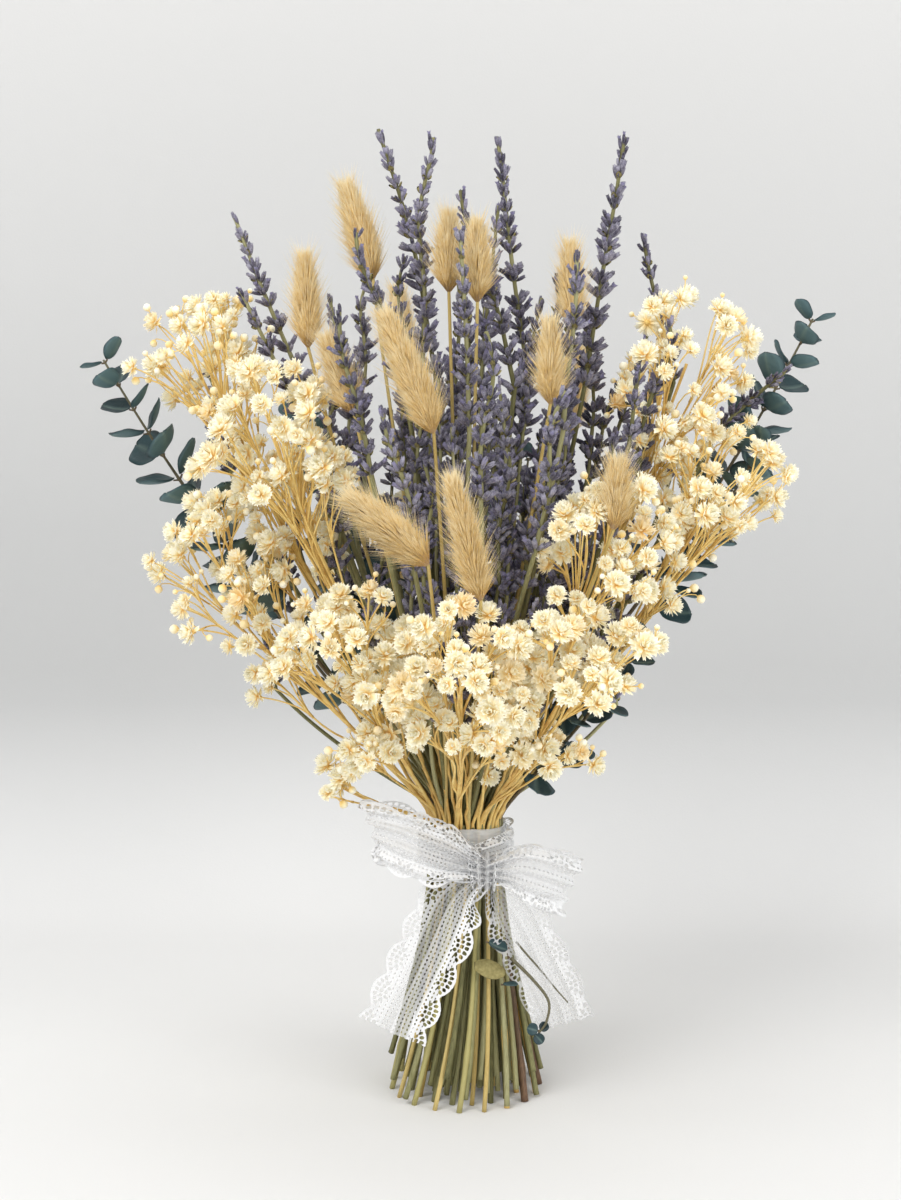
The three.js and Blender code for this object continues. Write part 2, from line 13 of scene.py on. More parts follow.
import bpy
import numpy as np
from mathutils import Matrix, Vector


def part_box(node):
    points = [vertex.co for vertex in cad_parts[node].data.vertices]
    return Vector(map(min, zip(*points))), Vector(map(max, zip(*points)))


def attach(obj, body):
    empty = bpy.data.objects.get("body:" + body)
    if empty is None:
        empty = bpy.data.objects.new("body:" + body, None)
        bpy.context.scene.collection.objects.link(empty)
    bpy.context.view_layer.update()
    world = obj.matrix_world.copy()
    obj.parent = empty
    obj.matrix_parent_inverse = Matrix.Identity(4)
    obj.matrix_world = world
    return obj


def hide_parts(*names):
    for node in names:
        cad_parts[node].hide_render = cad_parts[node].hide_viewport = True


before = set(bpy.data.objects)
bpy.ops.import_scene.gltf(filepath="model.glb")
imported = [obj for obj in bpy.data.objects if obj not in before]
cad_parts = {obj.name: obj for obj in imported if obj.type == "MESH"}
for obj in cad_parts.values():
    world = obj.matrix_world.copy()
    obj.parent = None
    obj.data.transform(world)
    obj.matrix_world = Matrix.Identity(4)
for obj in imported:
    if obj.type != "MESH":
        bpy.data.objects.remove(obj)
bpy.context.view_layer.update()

log = logging.getLogger("dried_flowers")

Array = np.ndarray
Value = Union["Socket", float]

MM = 0.001
GOLDEN_TURN = math.pi * (3 - math.sqrt(5))
SPIN = 6.28
BODY = "root"


# ---- shaders ------------------------------------------------------------
def paint(red: int, green: int, blue: int) -> tuple[float, float, float, float]:
    """Turns a display colour into the linear colour that a shader takes.

    Args:
        red: Red from 0 to 255.
        green: Green from 0 to 255.
        blue: Blue from 0 to 255.

    Returns:
        The linear red, green and blue with an alpha of 1.
    """
    shares = [value / 255 for value in (red, green, blue)]
    linear = [s / 12.92 if s <= 0.04045 else ((s + 0.055) / 1.055) ** 2.4 for s in shares]
    return (linear[0], linear[1], linear[2], 1.0)


class Socket:
    """An output of a shader node, on which Python's operators add Math nodes."""

    def __init__(self, shader: "Shader", output: bpy.types.NodeSocket) -> None:
        """Keeps the output and the shader it belongs to."""
        self.shader = shader
        self.output = output

    def _math(self, operation: str, first: Value, second: Value) -> "Socket":
        """Adds one Math node and returns its result."""
        return self.shader.node("ShaderNodeMath", {"operation": operation}, {0: first, 1: second})

    def __add__(self, other: Value) -> "Socket":
        """Adds."""
        return self._math("ADD", self, other)

    def __radd__(self, other: Value) -> "Socket":
        """Adds to a number."""
        return self._math("ADD", other, self)

    def __sub__(self, other: Value) -> "Socket":
        """Subtracts."""
        return self._math("SUBTRACT", self, other)

    def __rsub__(self, other: Value) -> "Socket":
        """Subtracts from a number."""
        return self._math("SUBTRACT", other, self)

    def __mul__(self, other: Value) -> "Socket":
        """Multiplies."""
        return self._math("MULTIPLY", self, other)

    def __rmul__(self, other: Value) -> "Socket":
        """Multiplies a number."""
        return self._math("MULTIPLY", other, self)

    def __truediv__(self, other: Value) -> "Socket":
        """Divides."""
        return self._math("DIVIDE", self, other)

    def __pow__(self, other: Value) -> "Socket":
        """Raises to a power."""
        return self._math("POWER", self, other)

    def clamp(self) -> "Socket":
        """Keeps the value from 0 to 1."""
        return self.shader.node("ShaderNodeClamp", {}, {0: self})


class Shader:
    """A material in the making, around one Principled shader."""

    def __init__(self, name: str, **uniform: Any) -> None:
        """Starts the material.

        Args:
            name: The material's name.
            **uniform: Values set on the shader's own sockets, with spaces as underscores.
        """
        self.material = bpy.data.materials.new(name)
        self.material.use_nodes = True
        self.tree = self.material.node_tree
        self.surface = self.tree.nodes["Principled BSDF"]
        for socket, value in uniform.items():
            self.surface.inputs[socket.replace("_", " ")].default_value = value

    def node(self, kind: str, settings: dict[str, Any], values: dict[Any, Any],
             output: Union[int, str] = 0) -> Socket:
        """Adds any node.

        Args:
            kind: The node's type.
            settings: Its properties, set first. "stops" fills a colour ramp.
            values: What goes into its sockets: numbers, colours or Sockets.
            output: Which output to return.

        Returns:
            The chosen output.
        """
        made = self.tree.nodes.new(kind)
        for key, value in settings.items():
            if key == "stops":
                self._fill_ramp(made.color_ramp, value)
            else:
                setattr(made, key, value)
        for key, value in values.items():
            if isinstance(value, Socket):
                self.tree.links.new(value.output, made.inputs[key])
            else:
                made.inputs[key].default_value = value
        return Socket(self, made.outputs[output])

    @staticmethod
    def _fill_ramp(ramp: bpy.types.ColorRamp, stops: Sequence[tuple[float, Any]]) -> None:
        """Gives a ramp its stops, each a place and a colour."""
        while len(ramp.elements) < len(stops):
            ramp.elements.new(1.0)
        for element, (place, colour) in zip(ramp.elements, stops):
            element.position = place
            element.color = colour

    def attribute(self, name: str) -> Socket:
        """Reads one of the piece's own attributes."""
        return self.node("ShaderNodeAttribute", {"attribute_name": name}, {}, "Fac")

    def noise(self, scale: float, detail: float = 3.0,
              stretch: tuple[float, float, float] = (1, 1, 1)) -> Socket:
        """Adds noise over the piece's Object coordinates.

        Args:
            scale: Lumps for each metre.
            detail: Octaves.
            stretch: Factors on the coordinates, so that a small one draws the lumps out.

        Returns:
            Noise around 0.5.
        """
        place = self.node("ShaderNodeTexCoord", {}, {}, "Object")
        place = self.node("ShaderNodeMapping", {}, {"Vector": place, "Scale": stretch})
        return self.node("ShaderNodeTexNoise", {},
                         {"Vector": place, "Scale": scale, "Detail": detail}, "Fac")

    def ramp(self, factor: Value, stops: Sequence[tuple[float, Any]]) -> Socket:
        """Colours a value from 0 to 1 by a list of stops."""
        return self.node("ShaderNodeValToRGB", {"stops": stops}, {0: factor})

    def mix(self, factor: Value, first: Any, second: Any, blend: str = "MIX") -> Socket:
        """Mixes two colours.

        Args:
            factor: 0 gives the first and 1 the second.
            first: A colour or a Socket.
            second: A colour or a Socket.
            blend: The way to blend.

        Returns:
            The mixed colour.
        """
        return self.node("ShaderNodeMix", {"data_type": "RGBA", "blend_type": blend},
                         {0: factor, 6: first, 7: second}, 2)

    def feed(self, socket: str, value: Socket) -> None:
        """Links a value that varies to one of the shader's sockets."""
        self.tree.links.new(value.output, self.surface.inputs[socket])

    def bump(self, height: Socket, depth: float) -> None:
        """Raises the surface by a height from 0 to 1.

        Args:
            height: The height.
            depth: How far 1 stands out, in millimetres.
        """
        normal = self.node("ShaderNodeBump", {}, {"Height": height, "Distance": depth * MM},
                           "Normal")
        self.feed("Normal", normal)


class Finish:
    """A finish that makes its material once."""

    def material(self) -> bpy.types.Material:
        """Makes the material, or gives the one already made."""
        name = type(self).__name__
        if name not in bpy.data.materials:
            self.mix_paint(name)
        return bpy.data.materials[name]

    def mix_paint(self, name: str) -> None:
        """Builds the material under this name."""
        raise NotImplementedError


@dataclass(frozen=True)
class LavenderStalk(Finish):
    """Square olive stalk with pale ridges drawn out along it."""

    shade: tuple = paint(82, 80, 50)
    middle: tuple = paint(132, 129, 86)
    ridge: tuple = paint(176, 172, 130)
    streaks: float = 1500.0

    def mix_paint(self, name: str) -> None:
        """Streaks along the stalk, a tone of its own for each stem and rough ridges."""
        shader = Shader(name, Specular_IOR_Level=0.3)
        streak = shader.noise(self.streaks, 3.0, (1, 1, 0.03))
        blotch = shader.noise(90.0, 2.0, (1, 1, 0.4))
        tone = shader.attribute("tone")
        shade = (streak * 0.55 + blotch * 0.25 + tone * 0.42 - 0.12).clamp()
        shader.feed("Base Color", shader.ramp(
            shade, [(0.12, self.shade), (0.45, self.middle), (0.85, self.ridge)]))
        shader.feed("Roughness", 0.5 + streak * 0.3)
        shader.bump(streak, 0.25)


@dataclass(frozen=True)
class LavenderCalyx(Finish):
    """Downy grey-violet calyx, olive where it joins the stalk."""

    foot: tuple = paint(140, 136, 104)
    dark: tuple = paint(46, 42, 54)
    middle: tuple = paint(112, 107, 126)
    light: tuple = paint(176, 173, 184)
    bloom: tuple = paint(98, 90, 138)

    def mix_paint(self, name: str) -> None:
        """Ribs and down over a ramp from foot to mouth, with bluer calyxes among them."""
        shader = Shader(name, Sheen_Weight=0.35, Sheen_Roughness=0.5, Specular_IOR_Level=0.2)
        along = shader.attribute("along")
        tone = shader.attribute("tone")
        ribs = shader.noise(2600.0, 2.0)
        mottle = shader.noise(500.0, 2.0)
        shade = (ribs * 1.1 + mottle * 0.8 + tone * 0.6 + along * 0.1 - 0.8).clamp()
        body = shader.ramp(shade, [(0.1, self.dark), (0.45, self.middle), (0.9, self.light)])
        body = shader.mix(((tone - 0.72) * 2.4).clamp() * along, body, self.bloom)
        body = shader.mix((1 - along * 3.2).clamp(), body, self.foot)
        shader.feed("Base Color", body)
        shader.feed("Roughness", 0.75 + ribs * 0.2)
        shader.bump(ribs, 0.2)


@dataclass(frozen=True)
class LavenderBract(Finish):
    """Papery olive-yellow bract under each whorl."""

    dark: tuple = paint(112, 104, 64)
    light: tuple = paint(196, 184, 128)

    def mix_paint(self, name: str) -> None:
        """Blotched paper."""
        shader = Shader(name, Roughness=0.8, Specular_IOR_Level=0.2)
        blotch = shader.noise(900.0, 3.0)
        tone = shader.attribute("tone")
        shader.feed("Base Color", shader.mix((blotch * 0.8 + tone * 0.5 - 0.2).clamp(),
                                             self.dark, self.light))
        shader.bump(blotch, 0.15)


@dataclass(frozen=True)
class SilkyHair(Finish):
    """Fine hair of the grass heads, golden at the root and pale at the tip."""

    root: tuple = paint(198, 152, 82)
    middle: tuple = paint(226, 190, 118)
    tip: tuple = paint(255, 242, 204)

    def mix_paint(self, name: str) -> None:
        """A ramp along each hair, moved by a tone of its own."""
        shader = Shader(name, Roughness=0.55, Sheen_Weight=0.4, Sheen_Roughness=0.4,
                        Specular_IOR_Level=0.25)
        along = shader.attribute("along")
        tone = shader.attribute("tone")
        patch = shader.noise(140.0, 2.0)
        shade = (along * 0.75 + tone * 0.3 + patch * 0.4 - 0.25).clamp()
        shader.feed("Base Color", shader.ramp(
            shade, [(0.0, self.root), (0.45, self.middle), (1.0, self.tip)]))


@dataclass(frozen=True)
class StrawStalk(Finish):
    """Thin straw of the grass, with nodes of a darker tan."""

    shade: tuple = paint(166, 138, 72)
    light: tuple = paint(222, 200, 132)

    def mix_paint(self, name: str) -> None:
        """Fine streaks along the straw."""
        shader = Shader(name, Specular_IOR_Level=0.35)
        streak = shader.noise(1800.0, 3.0, (1, 1, 0.04))
        tone = shader.attribute("tone")
        shader.feed("Base Color", shader.mix((streak * 0.8 + tone * 0.5 - 0.15).clamp(),
                                             self.shade, self.light))
        shader.feed("Roughness", 0.4 + streak * 0.25)
        shader.bump(streak, 0.12)


@dataclass(frozen=True)
class GoldenStalk(Finish):
    """Waxy golden stalk of the gypsophila, browner in its joints and olive at its foot."""

    brown: tuple = paint(210, 166, 92)
    gold: tuple = paint(242, 208, 126)
    pale: tuple = paint(252, 234, 174)
    green: tuple = paint(160, 158, 104)

    def mix_paint(self, name: str) -> None:
        """Blotches of amber over gold, with a paler tone towards the twigs."""
        shader = Shader(name, Specular_IOR_Level=0.4)
        blotch = shader.noise(260.0, 4.0)
        streak = shader.noise(1600.0, 2.0, (1, 1, 0.15))
        tone = shader.attribute("tone")
        along = shader.attribute("along")
        shade = (blotch * 0.9 + streak * 0.25 + tone * 0.25 + along * 0.3 - 0.4).clamp()
        body = shader.ramp(shade, [(0.05, self.brown), (0.42, self.gold), (0.95, self.pale)])
        shader.feed("Base Color", shader.mix(shader.attribute("green"), body, self.green))
        shader.feed("Roughness", 0.38 + blotch * 0.3)
        shader.bump(blotch, 0.2)


@dataclass(frozen=True)
class CreamPetal(Finish):
    """Papery cream petal, warm in its throat; old flowers are more golden. It glows faintly in its
    own colour, a painted glow standing in for light shining through the thin petals.
    """

    throat: tuple = paint(255, 220, 138)
    middle: tuple = paint(255, 244, 206)
    edge: tuple = paint(255, 252, 234)
    aged: tuple = paint(252, 220, 150)
    # Strength of the painted glow, light the petals give off themselves in place of light shining
    # through them.
    painted_glow: float = 0.05

    def mix_paint(self, name: str) -> None:
        """A ramp from throat to edge, aged by the flower's own tone, with crinkles, and a faint
        painted glow of the same colour.
        """
        shader = Shader(name, Roughness=0.75, Sheen_Weight=0.15, Specular_IOR_Level=0.2,
                        Emission_Strength=self.painted_glow)
        along = shader.attribute("along")
        tone = shader.attribute("tone")
        crinkle = shader.noise(2200.0, 3.0)
        body = shader.ramp((along * 1.05 + crinkle * 0.3 - 0.2).clamp(),
                           [(0.1, self.throat), (0.5, self.middle), (0.9, self.edge)])
        body = shader.mix(((tone - 0.62) * 2.2).clamp() * 0.75, body, self.aged)
        shader.feed("Base Color", body)
        # Painted glow: the petals emit their own colour, which lifts their shade.
        shader.feed("Emission Color", body)
        shader.bump(crinkle, 0.04)


@dataclass(frozen=True)
class WaxyLeaf(Finish):
    """Preserved eucalyptus leaf: dark blue-green above, grey below, with a pale midrib."""

    deep: tuple = paint(24, 44, 48)
    upper: tuple = paint(48, 76, 80)
    lower: tuple = paint(96, 124, 128)
    rib: tuple = paint(120, 142, 132)

    def mix_paint(self, name: str) -> None:
        """Mottled green, mixed by side and rib, with fine veins as bumps."""
        shader = Shader(name, Specular_IOR_Level=0.45)
        mottle = shader.noise(160.0, 4.0)
        fine = shader.noise(900.0, 3.0)
        tone = shader.attribute("tone")
        under = shader.attribute("under")
        rib = shader.attribute("rib")
        body = shader.mix((mottle * 0.9 + tone * 0.7 - 0.35).clamp(), self.deep, self.upper)
        body = shader.mix(under * 0.75, body, self.lower)
        body = shader.mix(rib * 0.45, body, self.rib)
        shader.feed("Base Color", body)
        shader.feed("Roughness", 0.38 + mottle * 0.22 + under * 0.15)
        shader.bump(fine * 0.6 + mottle * 0.4, 0.25)


@dataclass(frozen=True)
class Bark(Finish):
    """Thin reddish-brown bark of the eucalyptus, greener towards the tip."""

    brown: tuple = paint(84, 62, 52)
    tan: tuple = paint(142, 112, 84)
    green: tuple = paint(104, 112, 88)

    def mix_paint(self, name: str) -> None:
        """Streaked bark that turns green along the branch."""
        shader = Shader(name, Specular_IOR_Level=0.3)
        streak = shader.noise(1300.0, 4.0, (1, 1, 0.08))
        along = shader.attribute("along")
        body = shader.mix((streak * 1.5 - 0.35).clamp(), self.brown, self.tan)
        shader.feed("Base Color", shader.mix(along * 0.6, body, self.green))
        shader.feed("Roughness", 0.5 + streak * 0.3)
        shader.bump(streak, 0.3)


@dataclass(frozen=True)
class WhiteThread(Finish):
    """Bright white cotton and nylon thread of the lace."""

    shade: tuple = paint(226, 226, 228)
    light: tuple = paint(252, 252, 251)

    def mix_paint(self, name: str) -> None:
        """Fine twist of the thread in colour and bump."""
        shader = Shader(name, Sheen_Weight=0.3, Sheen_Roughness=0.5, Specular_IOR_Level=0.3)
        twist = shader.noise(3200.0, 2.0)
        shader.feed("Base Color", shader.mix((twist * 1.4 - 0.2).clamp(), self.shade, self.light))
        shader.feed("Roughness", 0.62 + twist * 0.2)
        solid = (0.5 + twist * 0.1 + shader.attribute("cord") * 0.5).clamp()
        shader.feed("Alpha", solid * (1.0 - shader.attribute("sheer")))
        shader.bump(twist, 0.12)


@dataclass(frozen=True)
class ClearFilm(Finish):
    """Clear glossy tape that shows the stems under it, with painted glints: it is whiter and more
    solid along its creases.
    """

    tint: tuple = paint(236, 240, 242)

    def mix_paint(self, name: str) -> None:
        """Mostly see-through, whiter and more solid along its creases as painted glints."""
        shader = Shader(name, Roughness=0.12, Specular_IOR_Level=0.7)
        crease = shader.noise(130.0, 3.0, (1, 1, 4))
        # Painted glints: the creases get a whiter colour and a more solid alpha.
        shader.feed("Base Color", shader.mix(crease, self.tint, paint(255, 255, 255)))
        shader.feed("Alpha", (0.18 + crease * 0.45).clamp())
        shader.bump(crease, 1.2)


@dataclass(frozen=True)
class StudioPaper(Finish):
    """Matt paper of the floor and the wall, clear from behind. Its colour paints light and shade by
    height: the floor paler as painted light, the foot of the wall darker as painted shade, and the
    wall lighter again higher up.
    """

    # One paper in three colours: the floor colour is painted light, the low wall colour is painted
    # shade, and the wall colour lies between.
    floor: tuple = paint(228, 227, 225)
    painted_shade_low_wall: tuple = paint(196, 196, 195)
    wall: tuple = paint(211, 210, 208)

    def mix_paint(self, name: str) -> None:
        """A slow change with height, which is painted light and shade, and a faint tooth."""
        shader = Shader(name, Roughness=0.9, Specular_IOR_Level=0.1)
        place = shader.node("ShaderNodeTexCoord", {}, {}, "Object")
        height = shader.node("ShaderNodeSeparateXYZ", {}, {0: place}, "Z")
        # Painted light and shade by height: pale floor, painted shade low on the wall, lighter
        # higher up.
        shader.feed("Base Color", shader.ramp((height / 0.5).clamp(), [
            (0.0, self.floor), (0.2, self.painted_shade_low_wall), (0.4, self.painted_shade_low_wall), (1.0, self.wall)]))
        shader.feed("Alpha", 1.0 - shader.node("ShaderNodeNewGeometry", {}, {}, "Backfacing"))
        shader.bump(shader.noise(900.0, 2.0), 0.05)


# ---- shapes -------------------------------------------------------------
def unit(vectors: Array) -> Array:
    """Scales vectors on the last axis to a length of 1."""
    return vectors / np.maximum(np.linalg.norm(vectors, axis=-1, keepdims=True), 1e-9)


def length_of(path: Array) -> float:
    """Adds up the steps of a path."""
    return np.linalg.norm(np.diff(path, axis=0), axis=1).sum()


def eased(share: Array) -> Array:
    """Turns an even rise from 0 to 1 into one that starts and ends level."""
    return share * share * (3 - 2 * share)


def across_of(tangents: Array) -> tuple[Array, Array]:
    """Finds two directions across each path, without twist.

    The first is the cross product of the tangent and the world axis that the path follows
    least, and the second is the cross product of the tangent and the first.

    Args:
        tangents: Unit tangents, (paths, points, 3).

    Returns:
        The two directions, each shaped like the tangents.
    """
    least = np.abs(tangents).max(axis=1).argmin(axis=-1)
    guide = np.eye(3)[least][:, None, :]
    side = unit(np.cross(tangents, guide))
    return side, np.cross(tangents, side)


@dataclass
class Part:
    """Points with their faces, attributes and finish."""

    points: Array
    faces: list[Array]
    finish: int = 0
    marks: dict[str, Array] = field(default_factory=dict)
    smooth: bool = True


def tubes(paths: Array, radii: Array, sides: int, ridges: float = 0.0,
          marks: Optional[dict[str, Array]] = None, finish: int = 0) -> Part:
    """Runs a closed tube along each path.

    Each ring is path + radius * (cos(turn) * side + sin(turn) * up), the radius swelling by
    a share of cos(4 * turn) where there are ridges, and a fan of faces closes each end.

    Args:
        paths: Points, (tubes, points, 3).
        radii: Radii, which spread to (tubes, points).
        sides: Corners of a ring.
        ridges: How far the four ridges stand out, as a share of the radius.
        marks: Attributes, which spread to (tubes, points).
        finish: Which of the piece's finishes the tubes take.

    Returns:
        The tubes as one part.
    """
    count, steps, _ = paths.shape
    tangents = unit(np.gradient(paths, axis=1))
    side, up = across_of(tangents)
    turn = 2 * np.pi * np.arange(sides) / sides
    swell = 1 + ridges * np.cos(4 * turn)
    reach = np.broadcast_to(radii, (count, steps))[..., None] * swell
    points = (paths[:, :, None, :]
              + (reach * np.cos(turn))[..., None] * side[:, :, None, :]
              + (reach * np.sin(turn))[..., None] * up[:, :, None, :])
    index = np.arange(count * steps * sides).reshape(count, steps, sides)
    ahead = np.roll(index, -1, axis=2)
    quads = np.stack([index[:, :-1], ahead[:, :-1], ahead[:, 1:], index[:, 1:]], axis=-1)
    fan = np.arange(1, sides - 1)
    hub = np.zeros_like(fan)
    foot = np.stack([index[:, 0, hub], index[:, 0, fan + 1], index[:, 0, fan]], axis=-1)
    top = np.stack([index[:, -1, hub], index[:, -1, fan], index[:, -1, fan + 1]], axis=-1)
    spread = {name: np.repeat(np.broadcast_to(value, (count, steps)).reshape(-1), sides)
              for name, value in (marks or {}).items()}
    return Part(points.reshape(-1, 3), [quads.reshape(-1, 4), foot.reshape(-1, 3),
                                        top.reshape(-1, 3)], finish, spread)


def blade_body(upper: Array, lower: Array, along: Array) -> Part:
    """Closes two grids that share their rim into a thin body.

    Args:
        upper: The upper grid, (steps, places, 3), whose rim is kept.
        lower: The lower grid, of which only the inner points are used.
        along: An attribute over the grid.

    Returns:
        The closed body, with "along" and, 1 on the lower side, "under".
    """
    steps, places, _ = upper.shape
    inner = np.zeros((steps, places), bool)
    inner[1:-1, 1:-1] = True
    over = np.arange(steps * places).reshape(steps, places)
    under = over.copy()
    under[inner] = steps * places + np.arange(inner.sum())
    cells = [np.stack([grid[:-1, :-1], grid[1:, :-1], grid[1:, 1:], grid[:-1, 1:]],
                      axis=-1).reshape(-1, 4) for grid in (over, under)]
    points = np.concatenate([upper.reshape(-1, 3), lower[inner]])
    marks = {"along": np.concatenate([along.reshape(-1), along[inner]]),
             "under": np.concatenate([np.zeros(over.size), np.ones(inner.sum())])}
    return Part(points, [np.concatenate([cells[0], cells[1][:, ::-1]])], 0, marks)


def placed(shape: Part, origins: Array, frames: Array, sizes: Array,
           marks: Optional[dict[str, Array]] = None, finish: int = 0) -> Part:
    """Repeats a shape: point = origin + size * x * first + size * y * second + ...

    Args:
        shape: The shape.
        origins: Where each copy's origin goes, (copies, 3).
        frames: Each copy's three directions as rows, (copies, 3, 3).
        sizes: Each copy's size, (copies,) or (copies, 3).
        marks: An attribute with one value for each copy.
        finish: Which of the piece's finishes the copies take.

    Returns:
        All the copies as one part.
    """
    count, size = len(origins), len(shape.points)
    scale = np.asarray(sizes, float)
    scale = np.repeat(scale[:, None], 3, axis=1) if scale.ndim == 1 else scale
    points = np.einsum("pc,nc,ncd->npd", shape.points, scale, frames) + origins[:, None, :]
    shift = (np.arange(count) * size)[:, None, None]
    faces = [(block[None] + shift).reshape(-1, block.shape[1]) for block in shape.faces]
    all_marks = {name: np.tile(value, count) for name, value in shape.marks.items()}
    all_marks.update({name: np.repeat(value, size) for name, value in (marks or {}).items()})
    return Part(points.reshape(-1, 3), faces, finish, all_marks, shape.smooth)


def frames_along(forward: Array, roll: Array) -> Array:
    """Makes frames whose third row is the given direction.

    Args:
        forward: Directions, (copies, 3).
        roll: Turn of each frame about its direction.

    Returns:
        The frames, (copies, 3, 3).
    """
    third = unit(forward)
    guide = np.where(np.abs(third[:, 2:]) > 0.9, np.array([[1.0, 0, 0]]), np.array([[0, 0, 1.0]]))
    side = unit(np.cross(guide, third))
    up = np.cross(third, side)
    turn = np.asarray(roll)[:, None]
    first = np.cos(turn) * side + np.sin(turn) * up
    return np.stack([first, np.cross(third, first), third], axis=1)


def lathe(levels: Sequence[float], radii: Sequence[float], sides: int,
          teeth: float = 0.0) -> Part:
    """Turns a profile about Z and closes it with a point at both ends.

    Args:
        levels: Heights of the foot, the rings and the tip.
        radii: Radii of the rings, two fewer than the levels.
        sides: Corners of a ring.
        teeth: How far every second corner of the last ring stands up.

    Returns:
        The closed shape, with "along" from 0 at the foot to 1 at the tip.
    """
    heights = np.asarray(levels, float)
    turn = 2 * np.pi * np.arange(sides) / sides
    rings = len(radii)
    reach = np.asarray(radii)[:, None]
    ring_z = np.repeat(heights[1:-1, None], sides, axis=1)
    ring_z[-1] += teeth * (np.arange(sides) % 2)
    grid = np.stack([reach * np.cos(turn), reach * np.sin(turn), ring_z], axis=-1)
    points = np.concatenate([grid.reshape(-1, 3), [[0, 0, heights[0]], [0, 0, heights[-1]]]])
    index = np.arange(rings * sides).reshape(rings, sides)
    ahead = np.roll(index, -1, axis=1)
    quads = np.stack([index[:-1], ahead[:-1], ahead[1:], index[1:]], axis=-1).reshape(-1, 4)
    foot = np.stack([ahead[0], index[0], np.full(sides, rings * sides)], axis=-1)
    top = np.stack([index[-1], ahead[-1], np.full(sides, rings * sides + 1)], axis=-1)
    along = (points[:, 2] - heights[0]) / (heights[-1] - heights[0])
    return Part(points, [quads, foot, top], 0, {"along": np.clip(along, 0, 1)})


class Piece:
    """A visual piece put together from parts, with its finishes."""

    def __init__(self, name: str, slot: str, finishes: Sequence[Finish]) -> None:
        """Starts an empty piece.

        Args:
            name: The piece's name.
            slot: Kept on the piece but not used.
            finishes: Its finishes, in the order that the parts name them.
        """
        self.name = name
        self.slot = slot
        self.finishes = finishes
        self.parts: list[Part] = []

    def add(self, part: Part) -> None:
        """Adds a part."""
        self.parts.append(part)

    def build(self, nodes: Sequence[str]) -> bpy.types.Object:
        """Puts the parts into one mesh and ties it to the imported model.

        Args:
            nodes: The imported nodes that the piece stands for.

        Returns:
            The finished object.
        """
        starts = np.cumsum([0] + [len(part.points) for part in self.parts])
        points = np.concatenate([part.points for part in self.parts]) * MM
        blocks, sizes, finish, smooth = [], [], [], []
        for part, start in zip(self.parts, starts):
            for block in part.faces:
                blocks.append((block + start).reshape(-1))
                sizes.append(np.full(len(block), block.shape[1]))
                finish.append(np.full(len(block), part.finish))
                smooth.append(np.full(len(block), part.smooth))
        corners, sizes = np.concatenate(blocks), np.concatenate(sizes)
        mesh = bpy.data.meshes.new(self.name)
        mesh.vertices.add(len(points))
        mesh.vertices.foreach_set("co", points.reshape(-1).astype(np.float32))
        mesh.loops.add(len(corners))
        mesh.loops.foreach_set("vertex_index", corners.astype(np.int32))
        mesh.polygons.add(len(sizes))
        first = np.concatenate([[0], np.cumsum(sizes)[:-1]])
        mesh.polygons.foreach_set("loop_start", first.astype(np.int32))
        mesh.polygons.foreach_set("material_index", np.concatenate(finish).astype(np.int32))
        mesh.polygons.foreach_set("use_smooth", np.concatenate(smooth))
        for name in sorted({name for part in self.parts for name in part.marks}):
            values = np.concatenate([part.marks.get(name, np.zeros(len(part.points)))
                                     for part in self.parts])
            mark = mesh.attributes.new(name, "FLOAT", "POINT")
            mark.data.foreach_set("value", values.astype(np.float32))
        mesh.update(calc_edges=True)
        for finish_style in self.finishes:
            mesh.materials.append(finish_style.material())
        piece = bpy.data.objects.new(self.name, mesh)
        bpy.context.scene.collection.objects.link(piece)
        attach(piece, BODY)
        if nodes:
            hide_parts(*nodes)
        log.info("%s: %d points, %d faces", self.name, len(points), len(sizes))
        return piece


